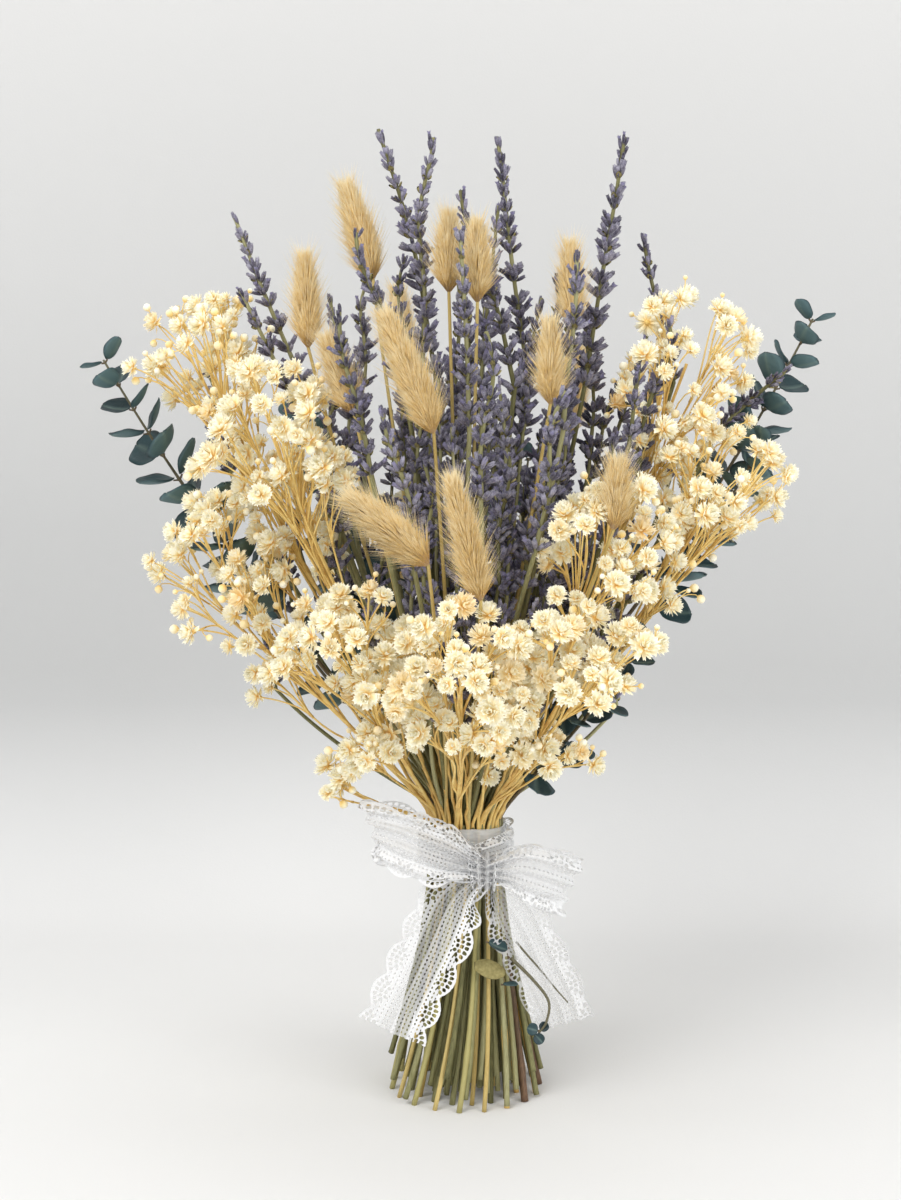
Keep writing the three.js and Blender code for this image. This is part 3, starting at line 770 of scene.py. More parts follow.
# ---- the bundle ---------------------------------------------------------
@dataclass(frozen=True)
class Bundle:
    """The way all stems run: close at the neck, leaning apart above and crossing below."""

    neck: float = 102.0
    flare: float = 52.0
    twist: float = 0.5
    lift_off: float = 10.0
    lean_ease: float = 0.1
    lean_curve: float = 0.9
    wrap_half: float = 9.0
    level_power: float = 1.25
    level_count: int = 5

    def middle(self) -> Array:
        """Finds the axis of the neck, in the middle of the tape's box."""
        low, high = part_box("binding_tape")
        return np.array([(low.x + high.x) / 2, (low.y + high.y) / 2]) / MM

    def axis(self) -> Array:
        """Finds where the axis of the neck meets the floor."""
        return np.append(self.middle(), 0)

    def widening(self, above: Array) -> Array:
        """The bundle's width as a share of the neck's, from the height above the neck."""
        return np.sqrt(1 + (above / self.flare) ** 2)

    def lean(self, above: Array, reach: float) -> Array:
        """The share of a stem's own lean that it has at each height.

        Args:
            above: Heights above the neck.
            reach: Height of the stem's head above the neck.

        Returns:
            0 at the neck and 1 at the head.
        """
        share = np.maximum(0, above - self.lift_off) / (reach - self.lift_off)
        eased = share ** 2 * (1 + self.lean_ease) / (share + self.lean_ease)
        return (1 - np.exp(-self.lean_curve * eased)) / (1 - math.exp(-self.lean_curve))

    def crossing(self, node: str, height: float) -> Array:
        """Cuts a packed stem at a height and takes the middle of the cut.

        The cut's points lie on the edges whose ends are on both sides of the height.

        Args:
            node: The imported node.
            height: The height, in millimetres.

        Returns:
            X and Y from the neck's axis.
        """
        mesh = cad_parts[node].data
        points = np.empty(len(mesh.vertices) * 3, np.float32)
        mesh.vertices.foreach_get("co", points)
        ends = np.empty(len(mesh.edges) * 2, np.int32)
        mesh.edges.foreach_get("vertices", ends)
        edge = points.reshape(-1, 3).astype(float)[ends.reshape(-1, 2)] / MM
        offset = edge[:, :, 2] - height
        cut = offset[:, 0] * offset[:, 1] < 0
        share = offset[cut, 0] / (offset[cut, 0] - offset[cut, 1])
        place = edge[cut, 0, :2] + share[:, None] * (edge[cut, 1, :2] - edge[cut, 0, :2])
        return place.mean(axis=0) - self.middle()

    def level(self, reach: float, step: int) -> float:
        """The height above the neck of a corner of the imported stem."""
        share = (step / self.level_count) ** self.level_power
        return self.wrap_half + (reach - self.wrap_half) * share

    def stem(self, node: str, head_height: float) -> "Stem":
        """Measures a packed stem.

        The stem runs straight between its corners, so a cut halfway up a run lies at the mean
        of the corners' places. One cut in the wrap gives its place in the neck, and one
        above gives its lean and so its head.

        Args:
            node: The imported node.
            head_height: The height of its head.

        Returns:
            The stem.
        """
        reach = head_height - self.neck
        near = self.wrap_half / 2
        neck = self.crossing(node, self.neck + near)
        neck = neck / ((1 + self.widening(np.array(self.wrap_half))) / 2)
        low, high = self.level(reach, 1), self.level(reach, 2)
        ends = np.array([low, high])
        found = self.crossing(node, self.neck + (low + high) / 2)
        spread = self.widening(ends).mean()
        leaning = self.lean(ends, reach).mean()
        head = neck * self.widening(np.array(reach)) + (found - neck * spread) / leaning
        low_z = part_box(node)[0].z / MM
        return Stem(self, neck, np.array([head[0], head[1], head_height]), max(low_z, 0.0))


@dataclass(frozen=True)
class Stem:
    """One stem of the bundle, from its cut end to its head."""

    bundle: Bundle
    neck: Array
    head: Array
    foot: float
    splay: tuple = (0.0, 0.0)
    sway: tuple = (0.0, 0.0)

    @property
    def reach(self) -> float:
        """Height of the head above the neck."""
        return float(self.head[2] - self.bundle.neck)

    def points(self, above: Array) -> Array:
        """Places points of the stem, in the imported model's frame.

        Below the neck the stem turns about the bundle's axis by the twist, in step with the
        depth, and strays by its own splay. Above it, the lean is added to the widening, and
        half a wave of its own sway.

        Args:
            above: Heights above the neck.

        Returns:
            The points, (heights, 3).
        """
        bundle = self.bundle
        heights = np.asarray(above, float)
        spread = self.neck[None] * bundle.widening(heights)[:, None]
        turn = np.where(heights < 0, bundle.twist * heights / bundle.neck, 0.0)
        turned = np.stack([np.cos(turn) * spread[:, 0] - np.sin(turn) * spread[:, 1],
                           np.sin(turn) * spread[:, 0] + np.cos(turn) * spread[:, 1]], axis=1)
        whole = self.head[:2] - self.neck * bundle.widening(np.array(self.reach))
        place = turned + whole * bundle.lean(heights, self.reach)[:, None]
        depth = np.clip(-heights / bundle.neck, 0, 1)[:, None] ** 1.3
        rise = np.clip(heights / self.reach, 0, 1)[:, None]
        place = place + np.array(self.splay) * depth + np.array(self.sway) * np.sin(
            np.pi * rise ** 1.5)
        place = place + bundle.middle()
        return np.concatenate([place, (bundle.neck + heights)[:, None]], axis=1)

    def run(self, steps: int = 44) -> Array:
        """Places evenly spaced points from the cut end to the head."""
        return self.points(np.linspace(self.foot - self.bundle.neck, self.reach, steps))

    def spike(self, length: float, nod: float, steps: int = 30) -> Array:
        """Bends the path of a long head away from the end of the stem.

        The path is the parabola through the stem's end and two points, 45 and 100 % of the
        length on, whose directions turn from the stem's own rise towards the nod.

        Args:
            length: Length of the head.
            nod: Lean of the head's own direction along X, for each unit of rise.
            steps: Points along the path.

        Returns:
            The points, (steps, 3).
        """
        ends = self.points(np.array([0.9 * self.reach, self.reach]))
        rise = unit(ends[1] - ends[0])
        aim = unit(np.array([nod, 0.0, 1.0]))
        early, late = unit(0.6 * rise + aim), unit(2 * aim + rise)
        share = 0.45
        first = ends[1] + early * share * length
        second = first + late * (1 - share) * length
        t = np.linspace(0, 1, steps)[:, None]
        at_start = (t - share) * (t - 1) / share
        at_middle = t * (t - 1) / (share * (share - 1))
        at_end = t * (t - share) / (1 - share)
        return at_start * ends[1] + at_middle * first + at_end * second


def along_path(path: Array, share: Array) -> tuple[Array, Array]:
    """Finds places and directions at shares of a path's length.

    Args:
        path: The path, (points, 3).
        share: Shares from 0 to 1.

    Returns:
        The places and the unit tangents, each (shares, 3).
    """
    length = np.concatenate([[0], np.cumsum(np.linalg.norm(np.diff(path, axis=0), axis=1))])
    where = np.asarray(share) * length[-1]
    slope = unit(np.gradient(path, axis=0))
    place = np.stack([np.interp(where, length, path[:, axis]) for axis in range(3)], axis=1)
    aim = np.stack([np.interp(where, length, slope[:, axis]) for axis in range(3)], axis=1)
    return place, unit(aim)


# ---- the plants ---------------------------------------------------------
@dataclass(frozen=True)
class Head:
    """Height, length, thickness and nod of a lavender or grass head."""

    height: float
    length: float
    fat: float
    nod: float


LAVENDER = [Head(*row) for row in (
    (291, 96, 4.6, -0.3), (296, 84, 4.2, 0.06), (285, 98, 4.6, -0.31), (286, 76, 4.4, -0.49),
    (270, 74, 4.2, -0.08), (286, 96, 5, 0.13), (287, 58, 4.2, -0.55), (278, 68, 4.4, -0.32),
    (287, 70, 4.4, -0.49), (267, 62, 4.4, -0.57), (254, 62, 4.2, -0.2), (268, 36, 4, 1.6),
    (270, 66, 4.4, 0.02), (246, 62, 4.4, 0.08), (228, 60, 4.4, 0.12), (222, 58, 4.4, -0.1),
    (235, 60, 4.4, 0.16), (255, 56, 4.2, 0.06), (248, 44, 4, -0.2), (262, 70, 4.6, 0.02),
    (256, 64, 4.6, 0.12), (256, 66, 4.6, -0.14), (244, 66, 4.4, 0.2), (248, 72, 4.4, 0.04))]
BUNNY_TAILS = [Head(*row) for row in (
    (327, 37, 8, -0.38), (322, 28, 7, 0.02), (318, 28, 6, -0.03), (301, 34, 6, 0.09),
    (277, 29, 6, -0.46), (271, 46, 8, -0.62), (309, 30, 5.5, -0.15), (281, 29, 5.5, -0.1),
    (226, 38, 9, -2.4), (213, 46, 6, -0.37), (237, 24, 6.5, -0.08), (284, 40, 7.5, -0.1),
    (262, 38, 7.5, 0.16))]


@dataclass(frozen=True)
class Crown:
    """Height, half width and half height of a gypsophila crown."""

    height: float
    wide: float
    tall: float


GYPSOPHILA = [Crown(*row) for row in (
    (297, 25, 22), (271, 26, 22), (216, 26, 26), (190, 27, 24), (188, 24, 22), (188, 28, 22),
    (230, 24, 22), (295, 28, 22), (250, 26, 22), (131, 9, 6), (216, 30, 26), (206, 30, 26))]


@dataclass(frozen=True)
class Branch:
    """Height of a eucalyptus tip, its leafy length and its leaf radius."""

    height: float
    leafy: float
    leaf: float


EUCALYPTUS = [Branch(*row) for row in (
    (296, 92, 5.6), (312, 92, 5.4), (265, 60, 5.8), (218, 60, 5.6), (192, 58, 5.8),
    (252, 80, 6.2), (270, 84, 6))]


def bent(starts: Array, start_aims: Array, ends: Array, end_aims: Array, steps: int) -> Array:
    """Runs cubic curves between points, leaving and arriving in given directions.

    Args:
        starts: First points, (curves, 3).
        start_aims: Directions there, whose length is the pull.
        ends: Last points.
        end_aims: Directions there.
        steps: Points along each curve.

    Returns:
        The curves, (curves, steps, 3).
    """
    t = np.linspace(0, 1, steps)[None, :, None]
    first, second = starts[:, None], ends[:, None]
    return ((2 * t ** 3 - 3 * t ** 2 + 1) * first + (t ** 3 - 2 * t ** 2 + t) * start_aims[:, None]
            + (3 * t ** 2 - 2 * t ** 3) * second + (t ** 3 - t ** 2) * end_aims[:, None])


@dataclass
class LavenderField:
    """All the lavender, each packed stem with four slighter stems beside it."""

    bundle: Bundle
    rng: np.random.Generator
    radius: float = 1.0
    calyx_length: float = 5.5
    calyx_width: float = 2.0
    whorl_pitch: float = 5.6
    companion_size: float = 0.8
    lowered: tuple = (12.0, 28.0, 48.0, 80.0)
    outer_ring: float = 14.3
    longest_companion: float = 58.0
    companion_girth: float = 0.85
    usual_fat: float = 4.4
    open_share: float = 0.16

    def waved(self, path: Array) -> Array:
        """Adds a slow wave that grows along a head's path."""
        share = np.linspace(0, 1, len(path))[:, None]
        swing = self.rng.normal(0, 2.2, 3) * np.array([1, 1, 0])
        phase = self.rng.uniform(4, 8)
        return path + swing * share * np.sin(phase * share)

    def calyx(self) -> Part:
        """A ribbed pod that swells and closes to teeth round a sunken mouth."""
        return lathe([0, 0.06, 0.3, 0.62, 0.94, 0.8], [0.2, 0.42, 0.5, 0.4], 6, 0.12)

    def bract(self) -> Part:
        """A pointed papery scale, cupped along its middle."""
        u = np.linspace(0, 1, 4)[:, None]
        v = np.array([-1.0, 0, 1])[None, :]
        half = 0.42 * np.sin(np.pi * (0.12 + 0.82 * u)) ** 0.8
        top = np.stack([half * v, 0.2 * v ** 2 + 0.1 * u, u + 0 * v], axis=-1)
        return blade_body(top, top - np.array([0, 0.07, 0]), u + 0 * v)

    def spike(self, piece: Piece, path: Array, fat: float, tone: float) -> None:
        """Dresses the path of a head with its whorls.

        Whorls thin out downwards. In each, calyxes stand round the stalk, leaning out from
        12 degrees at the tip to 46 at the foot, with scales under them and a few faded
        flowers in their mouths.

        Args:
            piece: The piece that takes the parts.
            path: The head's path.
            fat: Thickness of the head.
            tone: The head's own tone from 0 to 1.
        """
        rng = self.rng
        length = length_of(path)
        whorls = max(5, round(length / self.whorl_pitch))
        place = np.linspace(0, 1, whorls)
        share = 0.955 - 0.93 * place ** 1.16
        share[1:] += rng.uniform(-0.4, 0.4, whorls - 1) / whorls
        counts = np.round(3 + 5.5 * np.minimum(1, place * 2.0)
                          + rng.uniform(-1.2, 1.2, whorls)).astype(int)
        which = np.repeat(np.arange(whorls), counts)
        step = np.concatenate([np.arange(count) for count in counts])
        spin = rng.uniform(0, SPIN, whorls)
        turn = spin[which] + 2 * np.pi * step / counts[which] + rng.normal(0, 0.16, len(which))
        centre, aim = along_path(path, share)
        lift = rng.uniform(-0.22, 0.24, len(which)) * self.whorl_pitch
        base = frames_along(aim[which], turn)
        lean = np.radians(12 + 34 * np.minimum(1, place[which] * 1.7)
                          + rng.normal(0, 10, len(which)))
        out = base[:, 0]
        heading = np.cos(lean)[:, None] * aim[which] + np.sin(lean)[:, None] * out
        origin = centre[which] + aim[which] * lift[:, None] + out * self.radius * 0.55
        size = fat / self.usual_fat * rng.uniform(0.78, 1.16, len(which))
        size = size * (0.74 + 0.26 * place[which])
        long = self.calyx_length * size
        wide = self.calyx_width * size * rng.uniform(0.85, 1.15, len(which))
        scale = np.stack([wide, wide, long], axis=1)
        frames = frames_along(heading, rng.uniform(0, SPIN, len(which)))
        own = np.clip(tone + rng.normal(0, 0.3, len(which)) - 0.25 * (place[which] < 0.12), 0, 1)
        piece.add(placed(self.calyx(), origin, frames, scale, {"tone": own}, 1))
        open_ones = rng.random(len(which)) < self.open_share
        mouth = origin + heading * (0.8 * long)[:, None]
        faded = lathe([0, 0.1, 0.6, 1.0, 0.7], [0.3, 0.42, 0.62], 5, 0.3)
        piece.add(placed(faded, mouth[open_ones], frames[open_ones],
                         scale[open_ones] * np.array([0.8, 0.8, 0.4]),
                         {"tone": np.ones(open_ones.sum())}, 1))
        leafed = np.arange(whorls)[place > 0.15]
        under = np.repeat(leafed, 2)
        around = spin[under] + np.tile(np.arange(2) * np.pi, len(leafed)) + 0.4
        foot = frames_along(aim[under], around)
        third = unit(aim[under] + 0.75 * foot[:, 0])
        first = unit(np.cross(foot[:, 0], third))
        bract_frames = np.stack([first, np.cross(third, first), third], axis=1)
        piece.add(placed(self.bract(), centre[under] + foot[:, 0] * self.radius * 0.6, bract_frames,
                         rng.uniform(2.0, 3.0, len(under)), {"tone": rng.random(len(under))}, 2))

    def stalk(self, piece: Piece, stem: Stem, head: Array, radius: float) -> None:
        """Runs the square stalk from its cut end through the head.

        Args:
            piece: The piece that takes the stalk.
            stem: The stem.
            head: The head's path.
            radius: Radius of the stalk.
        """
        path = np.concatenate([stem.run(), head[1:]])
        share = np.linspace(0, 1, len(path))
        girth = radius * (1.08 - 0.42 * share) * (1 + 0.05 * np.sin(share * 37 + radius * 91))
        piece.add(tubes(path[None], girth, 8, 0.08, {"tone": self.rng.random()}))

    def companion(self, stem: Stem, index: int, lower: float) -> Stem:
        """Places a slighter stem beside a stem, with its head lower and nearer the axis.

        Args:
            stem: The stem beside it.
            index: The companion's number, which sets the side.
            lower: How much lower its head starts, at least.

        Returns:
            The slighter stem.
        """
        turn = index * GOLDEN_TURN
        aside = np.array([math.cos(turn), math.sin(turn)])
        spread = 0.55 + 0.3 * ((index * 0.618) % 1)
        drop = lower + 40 * ((index * 0.382) % 1)
        head = np.append(stem.head[:2] * spread + 12 * aside, max(160.0, stem.head[2] - drop))
        return Stem(self.bundle, stem.neck + 1.5 * aside, head, 2 + 12 * ((index * 0.73) % 1),
                    tuple(self.rng.normal(0, 2.4, 2)), tuple(self.rng.normal(0, 2.0, 2)))

    def filler(self, index: int) -> Stem:
        """Places a bare stem in the outer ring of the neck.

        Args:
            index: The stem's number, which sets its turn.

        Returns:
            The stem, which ends under the tape.
        """
        turn = index * 2 * math.pi / len(LAVENDER) + 0.2
        neck = self.outer_ring * np.array([math.cos(turn), math.sin(turn)])
        head = np.append(neck * 1.02, self.bundle.neck + self.bundle.wrap_half)
        return Stem(self.bundle, neck, head, 1 + 14 * ((index * 0.382) % 1),
                    tuple(self.rng.normal(0, 2.8, 2)))

    def build(self) -> None:
        """Builds one piece for each packed stem, with four slighter stems and a bare one."""
        for index, head in enumerate(LAVENDER):
            name = f"lavender_{index + 1:02d}"
            stem = self.bundle.stem(name, head.height)
            stem = replace(stem, sway=tuple(self.rng.normal(0, 1.2, 2)))
            piece = Piece(f"{name}_dried", "lavender",
                          [LavenderStalk(), LavenderCalyx(), LavenderBract()])
            path = self.waved(stem.spike(head.length, head.nod))
            self.stalk(piece, stem, path, self.radius)
            self.spike(piece, path, head.fat, self.rng.uniform(0.25, 0.62))
            for order, lower in enumerate(self.lowered):
                beside = self.companion(stem, index + order * len(LAVENDER), lower)
                long = head.length * self.companion_size
                long = min(long, self.longest_companion) if order else long
                beside_path = self.waved(beside.spike(long, -0.6 * head.nod))
                self.stalk(piece, beside, beside_path, self.radius * self.companion_girth)
                self.spike(piece, beside_path, head.fat, self.rng.uniform(0.3, 0.78))
            bare = self.filler(index)
            self.stalk(piece, bare, bare.points(np.array([bare.reach, bare.reach + 2])),
                       self.radius)
            piece.build([name])


@dataclass
class BunnyTailGrass:
    """The bunny-tail grass: egg-shaped heads of silky hair on thin straws."""

    bundle: Bundle
    rng: np.random.Generator
    radius: float = 0.85
    hairs: int = 4000
    hair_radius: float = 0.17
    whisker_share: float = 0.16

    def head(self, piece: Piece, path: Array, fat: float) -> None:
        """Covers an egg-shaped core with hair that lies along it.

        The core's radius is 0.56 of the half thickness, times a root that rounds the
        blunt foot and a power that narrows the tip. Each hair is a thin cone that leaves
        the core, leaning out less towards the tip.

        Args:
            piece: The piece that takes the head.
            path: The head's path.
            fat: Its half thickness.
        """
        rng = self.rng
        length = length_of(path)
        share = np.linspace(0, 1, len(path))

        def core_at(u: Array) -> Array:
            """The core's radius at a share of the length."""
            return 0.56 * fat * np.sqrt(1 - (1 - u) ** 3 + 0.01) * (1 - 0.98 * u ** 2.0) ** 0.8

        piece.add(tubes(path[None], core_at(share), 14, 0, {"along": 0.1, "tone": 0.2}, 1))
        count = int(self.hairs * (fat * length / 240) ** 0.6)
        root = rng.random(count) ** 1.15 * 0.93 + 0.01
        turn = rng.uniform(0, 2 * np.pi, count)
        centre, aim = along_path(path, root)
        out = frames_along(aim, turn)[:, 0]
        loose = rng.random(count) < self.whisker_share
        lean = np.radians(np.where(root < 0.06, 36, 40 - 25 * root) + rng.normal(0, 5, count)
                          + np.where(loose, 14, 0))
        reach = length * 0.05 + 6.0 * rng.uniform(0.65, 1.3, count) * np.where(loose, 1.9, 1)
        reach = reach * (1 - 0.15 * root)
        heading = np.cos(lean)[:, None] * aim + np.sin(lean)[:, None] * out
        begin = centre + out * (core_at(root) * 0.92)[:, None]
        lay = unit(heading + 0.3 * aim + rng.normal(0, 0.05, (count, 3)))
        girth = self.hair_radius * np.where(loose, 0.7, 1.0)
        tone = np.clip(0.5 * rng.random(count) + 0.28 + 0.35 * (root - 0.3), 0, 1)
        hair = lathe([-0.01, 0.0, 1.0], [1.0], 3)
        frames = frames_along(lay, rng.uniform(0, SPIN, count))
        piece.add(placed(hair, begin, frames, np.stack([girth, girth, reach], axis=1),
                         {"tone": tone}, 1))

    def build(self) -> None:
        """Builds one piece for each packed stem."""
        for index, head in enumerate(BUNNY_TAILS):
            name = f"bunny_tail_{index + 1:02d}"
            stem = self.bundle.stem(name, head.height)
            path = stem.spike(head.length, head.nod, 24)
            piece = Piece(f"{name}_dried", "bunny_tail", [StrawStalk(), SilkyHair()])
            line = np.concatenate([stem.run(), path[1:4]])
            girth = np.linspace(self.radius * 1.1, self.radius * 0.7, len(line))
            piece.add(tubes(line[None], girth, 8, 0, {"tone": self.rng.random()}))
            self.head(piece, path, head.fat)
            piece.build([name])


@dataclass
class GypsophilaSprays:
    """The gypsophila: golden twigs that fork to double flowers and round buds."""

    bundle: Bundle
    rng: np.random.Generator
    radius: float = 0.95
    balls: int = 7
    inner_balls: int = 5
    crown_share: float = 0.84
    front_rows: tuple = (3, 4, 5)
    fan_twigs: int = 6
    fan_start: float = -168.0
    fan_step: float = 9.0
    fan_ring: float = 14.0
    fan_reach: float = 50.0
    fan_rise: float = 72.0
    small_crown: float = 12.0
    small_shift: tuple = (-6.0, -4.0)
    small_widening: float = 1.008
    bloom_share: float = 0.92
    branches: int = 6
    fork_steps: int = 22
    petals: tuple = ((9, -20, 0.9), (12, 4, 1.0), (12, 27, 1.0), (10, 50, 1.0), (7, 72, 0.98))

    def petal(self) -> Part:
        """A short petal that widens to a frilled, notched edge, curling up."""
        u = np.array([0.0, 0.62, 1.0])[:, None]
        v = np.array([-1.0, 0, 1])[None, :]
        half = np.array([0.06, 0.18, 0.16])[:, None]
        notch = np.array([0, 0, 0.12])[:, None]
        curl = 0.16 * u ** 2 + 0.07 * v ** 2 * u
        frill = np.array([0, 0.02, -0.05])[:, None] * v
        top = np.stack([half * v, curl + frill, u - notch * (1 - v ** 2) + 0 * v], axis=-1)
        petal = blade_body(top, top - np.array([0, 0.05, 0]), u + 0 * v)
        petal.smooth = False
        return petal

    def blossoms(self, piece: Piece, places: Array, faces: Array, sizes: Array) -> None:
        """Opens a double flower at each place.

        Rings of petals rise from flat to upright round the flower's own axis, over a small
        cup.

        Args:
            piece: The piece that takes them.
            places: Middles of the flowers.
            faces: Where they look.
            sizes: Their radii.
        """
        rng = self.rng
        rises, turns, shares = [], [], []
        for ring, (count, degrees, share) in enumerate(self.petals):
            rises.append(np.full(count, np.radians(degrees)))
            turns.append(2 * np.pi * np.arange(count) / count + ring * 0.9)
            shares.append(np.full(count, share))
        rise, turn, share = (np.concatenate(rows) for rows in (rises, turns, shares))
        flowers, each = len(places), len(rise)
        frames = frames_along(faces, rng.uniform(0, SPIN, flowers))
        rise = rise[None] + rng.normal(0, 0.17, (flowers, each))
        turn = turn[None] + rng.normal(0, 0.12, (flowers, each))
        flat = (np.cos(turn)[..., None] * frames[:, None, 0]
                + np.sin(turn)[..., None] * frames[:, None, 1])
        axis = np.broadcast_to(frames[:, None, 2], flat.shape)
        third = np.cos(rise)[..., None] * flat + np.sin(rise)[..., None] * axis
        second = np.cos(rise)[..., None] * axis - np.sin(rise)[..., None] * flat
        twist = rng.normal(0, 0.25, (flowers, each))[..., None]
        first = unit(np.cross(second, third) + twist * second)
        second = np.cross(third, first)
        petal_frames = np.stack([first, second, third], axis=2).reshape(-1, 3, 3)
        size = (sizes[:, None] * share * rng.uniform(0.9, 1.06, (flowers, each))).reshape(-1)
        origin = places[:, None] + third * (0.05 * sizes)[:, None, None]
        origin = origin - axis * (0.12 * sizes)[:, None, None]
        age = np.clip(rng.normal(0.42, 0.22, flowers), 0, 1)
        tone = np.clip(age[:, None] + rng.normal(0, 0.07, (flowers, each)), 0, 1).reshape(-1)
        piece.add(placed(self.petal(), origin.reshape(-1, 3), petal_frames, size,
                         {"tone": tone}, 1))
        cup = lathe([-0.55, -0.5, -0.2, 0.1], [0.09, 0.22], 6)
        piece.add(placed(cup, places, frames, sizes, {"tone": age}, 0))

    def buds(self, piece: Piece, places: Array, faces: Array, sizes: Array) -> None:
        """Sets round closed buds, petal tips just showing."""
        ball = lathe([-1.0, -0.85, -0.3, 0.35, 0.8, 1.0], [0.4, 0.9, 0.92, 0.5], 7)
        frames = frames_along(faces, self.rng.uniform(0, SPIN, len(places)))
        tone = self.rng.uniform(0.55, 1.0, len(places))
        piece.add(placed(ball, places, frames, sizes, {"tone": tone}, 1))

    def twigs(self, piece: Piece, paths: Array, thick: float, thin: float, along: float) -> None:
        """Runs twigs that taper and swell into a joint at their foot.

        Args:
            piece: The piece that takes them.
            paths: Their paths.
            thick: Radius at the foot.
            thin: Radius at the tip.
            along: How pale they are, from 0 to 1.
        """
        share = np.linspace(0, 1, paths.shape[1])
        girth = thick + (thin - thick) * share + 0.5 * thick * np.exp(-(share / 0.07) ** 2)
        tone = self.rng.random((len(paths), 1))
        piece.add(tubes(paths, girth[None], 6, 0, {"tone": tone, "along": along * share[None]}))

    def spray(self, piece: Piece, stem: Stem, crown: Crown, row: int) -> None:
        """Grows the whole crown of one stem.

        The outer flower groups stand on a squashed sphere round the head, at golden turns.
        The others stand round the stem under it. A twig leaves the stem lower down for
        each, and forks near its end to flowers and a few buds.

        Args:
            piece: The piece that takes it.
            stem: The stem.
            crown: The crown.
            row: The crown's number, which sets its turn.
        """
        rng = self.rng
        few = crown.wide < self.small_crown
        shell = 3 if few else self.balls
        filled = 0 if few else self.inner_balls
        place = np.concatenate([np.arange(shell), np.arange(filled) + 0.5])
        rise = 1 - 1.7 * (place + 0.3) / np.repeat([shell, max(filled, 1)], [shell, filled])
        out = np.sqrt(1 - rise ** 2)
        turn = row * GOLDEN_TURN * 1.7 + place * GOLDEN_TURN
        count = shell + filled
        middle = stem.head + self.bundle.axis()
        wide = crown.wide * self.crown_share
        offset = np.stack([wide * out * np.cos(turn), wide * out * np.sin(turn) * 0.8,
                           crown.tall * rise], axis=1)
        groups = middle + offset
        offset[shell:, :2] = rng.uniform(11, 20, (filled, 1)) * np.stack(
            [np.cos(turn[shell:]), np.sin(turn[shell:])], axis=1)
        offset[shell:, 2] = 4.0
        groups[shell:] = stem.points(stem.reach * rng.uniform(0.45, 0.92, filled)) + offset[shell:]
        above = groups[:, 2] - self.bundle.neck - crown.tall
        low = np.clip(above * rng.uniform(0.3, 0.95, count), 8, 0.85 * stem.reach)
        starts = stem.points(low)
        ahead = unit(stem.points(low + 2) - starts)
        span = np.linalg.norm(groups - starts, axis=1)[:, None]
        upward = unit(unit(offset) + np.array([0, 0, 0.9]))
        main = bent(starts, ahead * span * 0.55, groups, upward * span * 0.7, self.fork_steps)
        wobble = 0.8 * np.sin(np.linspace(0, 9, self.fork_steps))[None, :, None]
        main[:, 1:-1] += (wobble * rng.normal(0, 1, (count, 1, 3)))[:, 1:-1]
        self.twigs(piece, main, 0.52, 0.32, 0.7)
        branches = 2 if few else self.branches
        which = np.repeat(np.arange(count), branches)
        order = np.tile(np.arange(branches), count)
        around = order * 2 * np.pi / max(1, branches - 1) + rng.uniform(0, SPIN, count)[which]
        frames = frames_along(upward[which], around)
        distance = np.where(order == 0, 0.5, rng.uniform(6.5, 10.5, len(which)))
        places = (groups[which] + frames[:, 0] * distance[:, None]
                  + upward[which] * rng.uniform(-4.5, 4.5, len(which))[:, None])
        fork = rng.integers(12, 17, len(which))
        begin = main[which, fork]
        heading = unit(main[which, fork + 1] - begin)
        gap = np.linalg.norm(places - begin, axis=1)[:, None]
        outward = places - np.append(self.bundle.middle(), middle[2] - 60)
        faces = unit(unit(outward) + 0.35 * frames[:, 0] + rng.normal(0, 0.28, (len(which), 3)))
        thin = bent(begin, heading * gap, places, faces * gap * 0.8, 9)
        self.twigs(piece, thin, 0.38, 0.26, 0.9)
        sizes = rng.uniform(3.1, 5.7, len(which))
        bloom = rng.random(len(which)) < self.bloom_share
        self.blossoms(piece, places[bloom], faces[bloom], sizes[bloom])
        self.buds(piece, places[~bloom], faces[~bloom], sizes[~bloom] * 0.36)
        small = 2 * count if few else 4 * count
        owner = rng.integers(0, len(which), small)
        side = unit(rng.normal(0, 1, (small, 3)) + np.array([0, 0, 0.4]))
        bud_places = places[owner] + side * rng.uniform(5.5, 8.5, small)[:, None]
        joint = thin[owner, 4]
        bud_gap = np.linalg.norm(bud_places - joint, axis=1)[:, None]
        fine = bent(joint, unit(places[owner] - joint) * bud_gap, bud_places, side * bud_gap, 7)
        self.twigs(piece, fine, 0.26, 0.2, 1.0)
        self.buds(piece, bud_places, side, rng.uniform(1.0, 1.9, small))

    def fan(self, piece: Piece, row: int) -> None:
        """Fans bare twigs out of the front of the tie and up under the flowers.

        Args:
            piece: The piece that takes them.
            row: The crown's number, which sets the part of the fan.
        """
        for step in range(self.fan_twigs):
            turn = math.radians(self.fan_start + self.fan_step * (step * 3 + row % 3))
            aim = np.array([math.cos(turn), math.sin(turn)])
            head = np.append(self.fan_reach * aim + self.rng.normal(0, 5, 2),
                             self.bundle.neck + self.fan_rise)
            stem = Stem(self.bundle, self.fan_ring * aim, head, 0)
            line = stem.points(np.linspace(-5, stem.reach, 20))
            line[1:-1] += self.rng.normal(0, 0.25, (18, 3))
            self.twigs(piece, line[None], 0.8, 0.45, 0.1)

